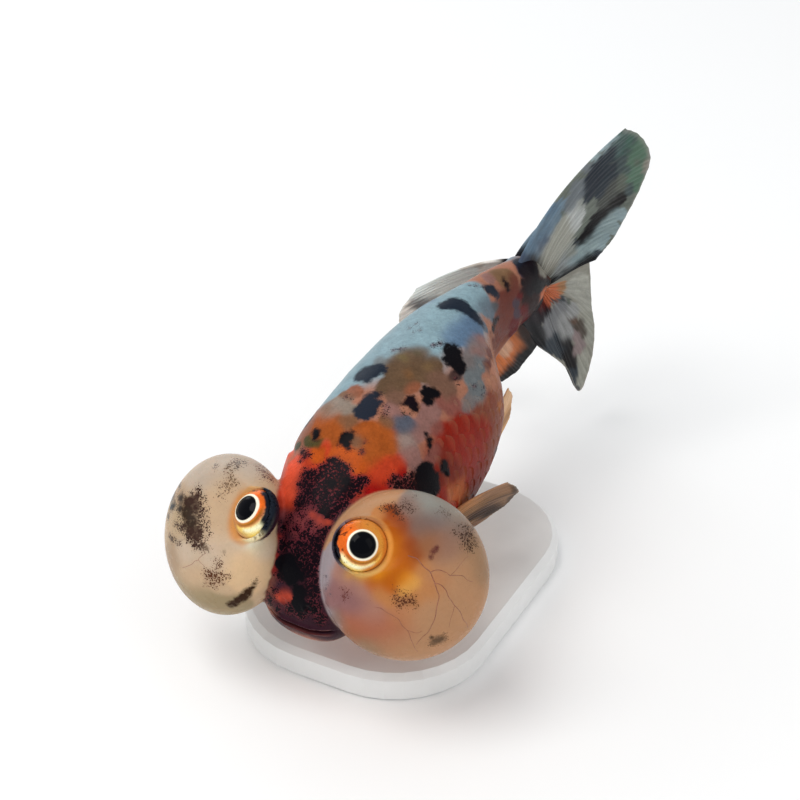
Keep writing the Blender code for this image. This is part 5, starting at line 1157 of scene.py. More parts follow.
skin_uv()
HIDE = hide_look("wet_skin", False)
skin.data.materials.append(HIDE)
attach(skin, "root")
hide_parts("head", "trunk", "tail_stalk", "bubble_left", "bubble_right")


# --------------------------------------------------------------------- scales
def body_point(y, ang, lift):
    """Points of the body's skin at station y and angle (degrees), raised."""
    top, low, half, shift = station(y)
    mid, tall = (top + low) / 2, (top - low) / 2
    a = np.radians(ang)
    s, c = np.sin(a), np.cos(a)
    r = 1.0 / (np.abs(s) ** POWER + np.abs(c) ** POWER) ** (1 / POWER)
    x, z = half * s * r, tall * c * r
    n = np.stack([np.sign(x) * np.abs(x / half) ** (POWER - 1) / half,
                  np.zeros_like(x), np.sign(z) * np.abs(z / tall) ** (POWER - 1) / tall], 1)
    n = n / np.linalg.norm(n, axis=1)[:, None]
    p = np.stack([shift + x, y, mid + z], 1)
    return p + n * (lift - SKIN_IN)[:, None]


SCALE_ROWS_ROUND = 30
NU, NT = 7, 6


def scale_sheet():
    verts, faces, uv, rims = [], [], [], []
    y, row = 27.2, 0
    s = np.linspace(-1, 1, NU)
    t = np.linspace(0, 1, NT)
    ss, tt = [g.ravel() for g in np.meshgrid(s, t, indexing="ij")]
    width = np.sqrt(np.clip(1 - ((tt - 0.42) / 0.6) ** 2, 0.02, 1))
    count = NU * NT
    idx = np.arange(count).reshape(NU, NT)
    top_faces = [(idx[i, j], idx[i + 1, j], idx[i + 1, j + 1], idx[i, j + 1])
                 for i in range(NU - 1) for j in range(NT - 1)]
    ring = ([idx[i, 0] for i in range(NU)] + [idx[NU - 1, j] for j in range(1, NT)]
            + [idx[i, NT - 1] for i in range(NU - 2, -1, -1)] + [idx[0, j] for j in range(NT - 2, 0, -1)])
    rng = np.random.default_rng(7)
    while y < 75.0:
        top, low, half, shift = [float(v) for v in station(np.array([y]))]
        around = math.pi * (half + (top - low) / 2)
        pitch = around / SCALE_ROWS_ROUND
        length = pitch * 1.38
        for k in range(SCALE_ROWS_ROUND):
            ang0 = (k + 0.5 * (row % 2)) * 360.0 / SCALE_ROWS_ROUND - 180.0
            j1, j2 = rng.uniform(-0.09, 0.09, 2)
            sunk = 0.03 * rng.random() + 0.05 * float(smooth(np.array([y]), 60.0, 70.0)[0])
            ang = ang0 + (ss * width * 0.64 + j1) * 360.0 / SCALE_ROWS_ROUND
            yy = y + (tt - 0.6 + j2) * length
            flank = float(smooth(np.array([abs(ang0)]), 36.0, 58.0)[0])
            lift = -0.165 + 0.095 * flank - sunk + 0.13 * tt + 0.014 * (1 - ss ** 2) - 0.012 * np.abs(ss) ** 3
            up = body_point(yy, ang, lift)
            down = body_point(yy, ang, lift - 0.07 - 0.05 * (1 - tt))
            base = sum(len(v) for v in verts)
            verts.append(np.concatenate([up, down]))
            for f in top_faces:
                faces.append([base + q for q in f][::-1])
                faces.append([base + count + q for q in f])
            m = len(ring)
            for q in range(m):
                a, b = ring[q], ring[(q + 1) % m]
                faces.append([base + a, base + b, base + count + b, base + count + a][::-1])
            cu = (ang0 + 180.0) / 360.0 / 1.02 + 0.004
            cv = (y - 24.0) / 62.0
            du = 0.46 / SCALE_ROWS_ROUND
            dv = 0.44 * (pitch * 0.78) / 62.0
            patch = np.stack([cu + ss * du, cv + (tt - 0.5) * 2 * dv], 1)
            uv.append(np.concatenate([patch, patch]))
            rim = smooth(tt, 0.66, 0.98) * 0.9 + smooth(np.abs(ss), 0.7, 1.0) * smooth(tt, 0.35, 0.7) * 0.5
            rims.append(np.tile(np.clip(rim, 0, 1), 2))
        y += pitch * 0.78
        row += 1
    return np.concatenate(verts), faces, np.concatenate(uv), np.concatenate(rims)


sv, sf, suv, srim = scale_sheet()
scales = mesh_object("fish_scales", sv, sf)
put_paint(scales.data, sv)
put(scales.data, "rim", srim, "FLOAT")
vert, _ = corner_arrays(scales.data)
corner_uv(scales.data, np.clip(suv[vert], 0, 1))
scales.data.materials.append(hide_look("wet_scales", True))
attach(scales, "root")


# ----------------------------------------------------------------------- eyes
def eye_piece(side):
    across, other, aim = eye_axes(side)
    rings, around = ((70, 144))
    inner, lower = eye_compass(side)
    R, D = EYE_RADIUS - 0.12, EYE_DEPTH - 0.04
    phi = np.linspace(0, math.radians(118), rings + 1)[1:]
    th = np.linspace(0, 2 * math.pi, around, endpoint=False)
    pp, aa = np.meshgrid(phi, th, indexing="ij")
    pp, aa = pp.ravel(), aa.ravel()
    flat = R * np.sin(pp)
    d = np.cos(aa)[:, None] * across + np.sin(aa)[:, None] * other
    # the right pupil looks a little toward the head
    look = (0.0 if side > 0 else 0.72) * inner
    seen = np.linalg.norm(flat[:, None] * d - look, axis=1)
    bulge = (0.12 * (1 - smooth(seen, 1.2, 1.85)) + 0.06 * np.exp(-((seen - 2.08) / 0.16) ** 2)
             - 0.04 * np.exp(-((seen - 2.75) / 0.4) ** 2)) * (pp < 1.3)
    pos = EYE[side] + flat[:, None] * d + (D * np.cos(pp) + bulge)[:, None] * aim
    pole = EYE[side] + (D + 0.12) * aim
    verts = np.concatenate([[pole], pos])
    faces = []
    for k in range(around):
        n = (k + 1) % around
        faces.append((0, 1 + k, 1 + n))
    for r in range(rings - 1):
        for k in range(around):
            n = (k + 1) % around
            a, b = 1 + r * around, 1 + (r + 1) * around
            faces.append((a + k, b + k, b + n, a + n))
    faces.append(tuple(1 + (rings - 1) * around + k for k in range(around - 1, -1, -1)))
    obj = mesh_object("fish_eye_left" if side > 0 else "fish_eye_right", verts, faces)
    q = verts - EYE[side]
    outer = np.hypot(q @ across, q @ other)
    high = q @ aim
    flat = np.linalg.norm(q - high[:, None] * aim - look, axis=1)
    safe = np.maximum(flat, 0.05)
    ci, cd = ((q - look) @ inner) / safe, ((q - look) @ lower) / safe
    wob = 0.10 * noise(verts, 0.9, 5) + 0.05 * noise(verts, 0.35, 9)
    melt = (222, 140, 56) if side > 0 else (204, 156, 104)
    col = np.tile(linear((226, 140, 48)), (len(verts), 1))
    col = over(col, 0.95 * smooth(ci - 0.3 * cd, 0.0, 0.7), (232, 104, 34))
    col = over(col, 0.8 * smooth(-ci, 0.1, 0.9), (224, 152, 60) if side > 0 else (206, 140, 84))
    col = over(col, 0.5 * smooth(-cd, 0.2, 0.9) * (1 - smooth(ci, 0.2, 0.6)), (206, 132, 60))
    # painted light on the lit lower edge: a bright yellow crescent with a thin brown inner edge and a near-white streak
    lit_crescent = smooth(cd + 0.2 * wob, 0.25, 0.65)
    col = over(col, 0.85 * lit_crescent * np.exp(-((flat - 2.66) / 0.20) ** 2), (146, 92, 30))
    col = over(col, lit_crescent * smooth(flat + wob, 2.85, 3.1), (250, 214, 100))
    col = over(col, smooth(cd + 0.3 * ci + 0.2 * wob, 0.5, 0.85) * np.exp(-((flat - 3.3) / 0.30) ** 2), (255, 250, 206))
    fleck = noise(verts, 0.42, 21) + 0.5 * noise(verts, 0.2, 22)
    col = over(col, smooth(fleck, 0.40, 0.58) * smooth(flat, 2.6, 3.1) * (0.15 + 0.85 * smooth(ci - 0.3 * cd, -0.2, 0.6)), (64, 28, 18))
    if side > 0:
        side_dark = smooth(ci + 0.2 * wob, 0.70, 0.90)
        col = over(col, side_dark * smooth(flat + 1.6 * wob, 3.46, 3.62), (20, 18, 26))
        col = over(col, smooth(-ci + 0.2 * cd, 0.0, 0.5) * smooth(flat, 2.9, 3.7), melt)
    else:
        side_dark = smooth(ci + 0.2 * wob, 0.40, 0.70)
        col = over(col, side_dark * smooth(outer + 1.2 * wob, 3.42, 3.62), (22, 26, 36))
        col = over(col, smooth(-ci, 0.0, 0.6) * smooth(flat, 2.9, 4.2), melt)
        col = over(col, 0.55 * smooth(-ci, 0.3, 0.8) * smooth(outer, 3.6, 3.85), (150, 104, 66))
    col = over(col, 1 - smooth(flat + 0.25 * wob, 2.26, 2.36), (250, 242, 220))
    col = over(col, 0.6 * (1 - smooth(flat + 0.3 * wob, 1.9, 2.05)) * smooth(-cd, 0.0, 0.8), (204, 184, 146))
    col = over(col, 1 - smooth(flat, 1.94, 2.01), (3, 4, 9))
    # the eye's sides down in the socket, below its rim, are painted dark brown: painted shade
    col = over(col, 1 - smooth(high, -1.0, -0.2), (60, 40, 30))
    put(obj.data, "base", col, "FLOAT_COLOR")
    put(obj.data, "flat", flat, "FLOAT")
    polar = np.stack([q @ across, q @ other], 1)
    fv, ff = corner_arrays(obj.data)
    k = np.arccos(np.clip((high / D), -1, 1)) / math.radians(118)
    uv = 0.5 + 0.49 * polar / np.maximum(outer, 0.05)[:, None] * k[:, None]
    corner_uv(obj.data, np.clip(uv[fv], 0, 1))
    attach(obj, "root")
    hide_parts("eye_left" if side > 0 else "eye_right")
    return obj


def eye_look():
    k = Look("eye_gloss", rough=0.2)
    k.set(Coat_Weight=0.16, Coat_Roughness=0.04, Coat_IOR=1.34, Specular_IOR_Level=0.03)
    base, flat = k.attr("base"), k.attr("flat", "Fac")
    grain = k.noise(5.0, 4.0, 0.6)
    tone = k.span(grain, 0.3, 0.7, 0.84, 1.14, "LINEAR")
    c = k.node("ShaderNodeCombineColor")
    for i in range(3):
        k.feed(c.inputs[i], tone)
    iris = k.mix(1.0, base, c.outputs[0], "MULTIPLY")
    mask = k.math("MULTIPLY", k.span(flat, 2.2, 2.4), k.span(flat, 3.7, 3.9, 1.0, 0.0))
    k.feed(k.bsdf.inputs["Base Color"], k.mix(mask, base, iris))
    k.feed(k.bsdf.inputs["Roughness"], k.span(grain, 0.3, 0.7, 0.14, 0.26, "LINEAR"))
    k.feed(k.bsdf.inputs["Metallic"], k.math("MULTIPLY", mask, 0.25))
    k.feed(k.bsdf.inputs["Normal"], k.bump(k.math("MULTIPLY", grain, mask), 0.00006, 0.6))
    return k.mat


eye_mat = eye_look()
for side in (1, -1):
    eye_piece(side).data.materials.append(eye_mat)


# ------------------------------------------------------------------ sac vessels
VESSELS = {
    1: (
        (0.075, 0.070, ((17.0, 8.1, 7.9), (18.1, 8.4, 7.5), (18.7, 8.3, 6.9), (19.5, 8.1, 6.1), (20.3, 8.0, 5.4), (20.9, 7.7, 4.6), (21.2, 7.5, 3.9))),
        (0.070, 0.040, ((21.2, 7.5, 3.9), (21.7, 7.1, 3.1), (22.0, 6.5, 1.9), (22.0, 5.6, 0.8), (22.0, 4.9, -0.5), (21.7, 4.2, -1.7), (21.2, 3.3, -2.8), (20.6, 2.6, -3.5), (19.7, 2.0, -4.9))),
        (0.070, 0.040, ((21.2, 7.5, 3.9), (22.0, 7.8, 3.4), (22.7, 7.9, 2.6), (23.1, 7.7, 1.5), (24.0, 7.6, -0.1), (24.5, 7.8, -1.6), (25.0, 7.9, -3.4), (25.2, 8.5, -5.7))),
        (0.055, 0.030, ((20.3, 8.0, 5.4), (20.8, 8.6, 5.4), (21.5, 9.2, 5.2), (22.1, 9.4, 4.6), (22.8, 9.7, 3.9), (23.5, 10.4, 3.4), (24.1, 11.0, 2.8), (24.6, 11.2, 2.1), (25.1, 11.8, 1.1))),
        (0.055, 0.035, ((13.9, 1.4, 1.9), (15.0, 1.7, 1.9), (15.9, 1.7, 1.3), (16.7, 1.8, 0.7), (17.4, 1.9, 0.2), (18.0, 1.8, -0.7), (18.7, 1.9, -1.7), (19.1, 1.8, -3.0), (19.4, 1.8, -4.7), (19.7, 2.0, -6.8))),
        (0.035, 0.025, ((18.7, 1.9, -1.7), (19.8, 2.6, -2.4), (20.6, 3.0, -2.4))),
        (0.035, 0.025, ((24.0, 7.6, -0.1), (23.6, 6.6, -1.6), (23.4, 5.8, -3.4))),
        (0.035, 0.025, ((22.8, 9.7, 3.9), (23.2, 11.8, 4.4), (23.6, 13.8, 4.2))),
        (0.050, 0.030, ((22.0, 19.0, -6.0), (19.0, 21.0, -4.0), (15.0, 22.0, -5.0), (11.0, 21.0, -8.0))),
    ),
    -1: (
        (0.040, 0.030, ((-18.4, -1.6, -0.1), (-17.5, -1.6, 0.6), (-16.6, -1.6, 1.5), (-15.6, -1.4, 2.4), (-14.9, -1.1, 3.1))),
        (0.035, 0.025, ((-22.4, -0.3, -5.1), (-20.8, -1.3, -4.5), (-19.0, -2.2, -4.0), (-18.9, -2.2, -6.5))),
        (0.035, 0.025, ((-13.7, -0.5, 4.4), (-14.9, -1.1, 3.1), (-13.9, -1.7, 2.5))),
        (0.050, 0.030, ((-24.0, 9.0, -4.0), (-22.0, 13.0, -6.0), (-18.0, 16.0, -7.0), (-14.0, 17.0, -6.0))),
    ),
}


def vessel_mesh():
    verts, faces = [], []
    around = 6
    for side, runs in VESSELS.items():
        axes, radii = sac_axes(side)
        for n, (r0, r1, pts) in enumerate(runs):
            pts = np.array(pts, float)
            steps = 14
            line = []
            for i in range(len(pts) - 1):
                p1, p2 = pts[i], pts[i + 1]
                p0 = pts[i - 1] if i else 2 * p1 - p2
                p3 = pts[i + 2] if i < len(pts) - 2 else 2 * p2 - p1
                for t in np.linspace(0, 1, steps, endpoint=False):
                    line.append(0.5 * (2 * p1 + (p2 - p0) * t + (2 * p0 - 5 * p1 + 4 * p2 - p3) * t * t
                                       + (3 * p1 - 3 * p2 + p3 - p0) * t ** 3))
            line.append(pts[-1])
            line = np.array(line)
            line = line + 0.16 * np.stack([noise(line, 1.1, 60 + n + k) for k in range(3)], 1)
            line = settle(line, 4)
            g = gradient(line)
            nrm = g / np.linalg.norm(g, axis=1)[:, None]
            tan = np.gradient(line, axis=0)
            tan /= np.linalg.norm(tan, axis=1)[:, None]
            sidev = np.cross(nrm, tan)
            m = len(line)
            rad = np.linspace(r0, r1, m)
            base = sum(len(v) for v in verts)
            rings = []
            for k in range(around):
                a = 2 * math.pi * k / around
                rings.append(line + (np.cos(a) * sidev + np.sin(a) * nrm) * rad[:, None]
                             - nrm * (rad * 0.25)[:, None])
            verts.append(np.stack(rings, 1).reshape(-1, 3))
            for i in range(m - 1):
                for k in range(around):
                    q = (k + 1) % around
                    faces.append((base + i * around + k, base + i * around + q,
                                  base + (i + 1) * around + q, base + (i + 1) * around + k))
            faces.append(tuple(base + k for k in range(around))[::-1])
            faces.append(tuple(base + (m - 1) * around + k for k in range(around)))
    return np.concatenate(verts), faces


vv, vf = vessel_mesh()
vessels = mesh_object("fish_sac_vessels", vv, vf)
k = Look("vessel", rough=0.35)
k.set(Coat_Weight=0.45, Coat_Roughness=0.16, Subsurface_Weight=0.2, Subsurface_Scale=0.001)
k.feed(k.bsdf.inputs["Base Color"], k.mix(k.span(k.noise(1.6, 3.0), 0.35, 0.65), (*linear((124, 62, 44)), 1.0), (*linear((158, 92, 66)), 1.0)))
vessels.data.materials.append(k.mat)
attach(vessels, "root")


# ----------------------------------------------------------------------- fins
# Each ray: root, middle and tip in the fish frame, as the solids have them.
FINS = {
    "tail_fin_left_upper": (
        ((0.9, 79.0, 0.0), (3.5, 93.2, 5.9), (9.8, 107.5, 11.0)),
        ((2.2, 84.0, -4.2), (5.2, 98.0, 3.4), (10.2, 113.2, 5.2)),
        ((2.8, 85.0, -5.4), (5.6, 99.5, -0.6), (10.4, 116.6, -2.2)),
        ((3.0, 86.0, -6.6), (5.6, 100.0, -4.4), (9.4, 114.8, -7.6)),
        ((3.1, 86.6, -7.8), (5.0, 98.5, -7.8), (8.2, 108.8, -11.2)),
        ((3.3, 86.6, -9.0), (6.4, 94.5, -9.4), (8.4, 102.8, -11.4)),
        ((3.4, 86.4, -9.8), (5.6, 91.6, -10.3), (7.4, 96.8, -11.9))),
    "tail_fin_left_lower": (
        ((3.1, 86.2, -9.4), (4.9, 91.2, -9.2), (6.3, 96.6, -10.4)),
        ((3.4, 86.8, -11.6), (5.0, 91.8, -16.4), (6.2, 96.2, -22.2)),
        ((3.0, 86.8, -12.6), (4.8, 92.0, -20.6), (6.3, 96.8, -30.0)),
        ((2.6, 86.4, -13.4), (4.4, 90.8, -23.8), (6.0, 94.4, -36.6)),
        ((2.0, 85.6, -14.0), (3.6, 87.6, -26.4), (5.2, 90.6, -41.2)),
        ((1.7, 84.0, -14.0), (3.0, 85.3, -23.2), (4.4, 87.6, -32.6)),
        ((1.5, 76.2, -10.4), (1.9, 78.4, -16.2), (2.7, 80.6, -20.8))),
    "tail_fin_right_upper": (
        ((-1.6, 82.5, -3.0), (-2.4, 94.0, -4.6), (-2.6, 108.0, -9.0)),
        ((-2.4, 84.6, -4.6), (-3.2, 97.0, -8.6), (-3.2, 113.6, -14.0)),
        ((-3.0, 85.8, -6.2), (-3.8, 98.0, -12.0), (-3.4, 114.4, -19.6)),
        ((-3.3, 86.6, -7.8), (-4.0, 97.0, -14.4), (-3.2, 109.0, -23.4)),
        ((-3.4, 86.6, -9.2), (-4.4, 93.4, -14.0), (-4.2, 101.0, -20.6))),
    "tail_fin_right_lower": (
        ((-3.4, 85.4, -5.6), (-10.8, 81.8, -6.2), (-20.6, 78.8, -12.2)),
        ((-3.8, 85.8, -7.6), (-12.6, 81.8, -11.2), (-23.6, 75.6, -17.8)),
        ((-3.8, 86.2, -9.6), (-12.0, 83.0, -15.6), (-20.8, 77.0, -24.6)),
        ((-3.4, 86.2, -11.6), (-9.6, 84.4, -20.4), (-16.4, 80.0, -32.4)),
        ((-2.4, 85.2, -13.4), (-5.2, 84.4, -19.6), (-9.6, 82.6, -27.6))),
    "anal_fin_left": (
        ((1.0, 59.5, -10.8), (1.5, 61.6, -12.4), (1.9, 63.6, -13.6)),
        ((1.0, 63.0, -9.4), (1.6, 65.0, -13.6), (2.1, 67.0, -17.2)),
        ((1.0, 66.5, -8.8), (1.6, 69.2, -14.6), (2.1, 71.6, -19.4)),
        ((1.0, 70.0, -9.2), (1.6, 72.8, -15.6), (2.1, 75.8, -20.6)),
        ((1.3, 76.6, -11.4), (1.9, 79.2, -16.0), (2.2, 81.4, -20.8))),
    "pelvic_fin_left": (
        ((6.2, 50.5, -14.4), (6.8, 55.5, -12.4), (7.0, 60.4, -10.6)),
        ((6.2, 49.0, -15.2), (7.0, 55.2, -14.2), (7.2, 61.0, -13.2)),
        ((6.2, 47.4, -16.0), (7.0, 53.8, -16.0), (7.2, 59.6, -15.6)),
        ((6.0, 45.8, -16.8), (6.8, 51.4, -18.0), (7.0, 56.6, -17.6)),
        ((5.8, 44.2, -17.6), (6.2, 48.2, -19.6), (6.4, 52.2, -19.6))),
    "pectoral_fin_left": (
        ((11.6, 27.0, -7.0), (15.2, 32.4, -5.6), (18.2, 37.2, -6.0)),
        ((11.6, 27.2, -8.4), (15.4, 33.6, -7.8), (19.0, 38.6, -8.6)),
        ((11.4, 27.4, -9.8), (14.8, 34.4, -10.2), (17.6, 41.0, -13.0)),
        ((11.2, 27.4, -11.2), (13.4, 34.4, -13.4), (15.0, 41.2, -16.8)),
        ((11.0, 27.2, -12.4), (12.4, 32.6, -15.2), (12.8, 38.0, -18.2))),
}
for part, shift in (("anal_fin", -1.8), ("pelvic_fin", 0.0), ("pectoral_fin", 0.0)):
    FINS[part + "_right"] = tuple(tuple((shift - a, b, c) for a, b, c in ray) for ray in FINS[part + "_left"])

RAYS = {"tail_fin_left_upper": 15, "tail_fin_left_lower": 13, "tail_fin_right_upper": 13,
        "tail_fin_right_lower": 14, "anal_fin": 8, "pelvic_fin": 9, "pectoral_fin": 13}

# fin colours: ground, then soft areas (u across, t along, radii, colour, strength)
FIN_GROUND = {
    "tail_fin_left_upper": (104, 110, 102), "tail_fin_left_lower": (134, 132, 122),
    "tail_fin_right_upper": (128, 130, 132), "tail_fin_right_lower": (186, 176, 166),
    "anal_fin": (150, 88, 52), "pelvic_fin": (206, 160, 118), "pectoral_fin": (136, 104, 78),
}
FIN_AREAS = {
    "anal_fin": (
        (0.46, 0.32, 0.46, 0.44, (186, 102, 52), 0.95), (0.66, 0.22, 0.14, 0.20, (190, 146, 118), 0.95),
        (0.30, 1.00, 0.55, 0.38, (14, 10, 12), 1.0), (0.80, 1.02, 0.40, 0.46, (8, 6, 8), 1.0),
        (0.00, 0.60, 0.07, 0.60, (26, 18, 18), 0.95), (0.99, 0.50, 0.11, 0.80, (10, 7, 9), 0.95)),
    "pelvic_fin": (
        (0.1, 0.6, 0.14, 0.5, (222, 184, 148), 0.9), (0.5, 0.1, 0.5, 0.16, (186, 104, 64), 0.9),
        (0.8, 0.7, 0.12, 0.3, (128, 98, 78), 0.8), (0.45, 0.75, 0.08, 0.3, (150, 116, 92), 0.6)),
    "pectoral_fin": (
        (0.05, 0.3, 0.16, 0.40, (178, 128, 88), 0.9), (0.06, 0.75, 0.20, 0.30, (150, 116, 92), 0.9),
        (0.5, 0.06, 0.5, 0.10, (120, 70, 48), 0.9), (0.50, 0.45, 0.07, 0.30, (66, 46, 38), 0.8),
        (0.66, 0.50, 0.10, 0.34, (48, 34, 30), 0.9), (0.80, 0.72, 0.10, 0.26, (40, 32, 30), 0.9),
        (0.36, 0.72, 0.05, 0.22, (84, 64, 54), 0.7), (0.45, 0.95, 0.34, 0.06, (60, 50, 46), 0.8),
        (0.93, 0.4, 0.10, 0.3, (110, 78, 60), 0.8)),
}


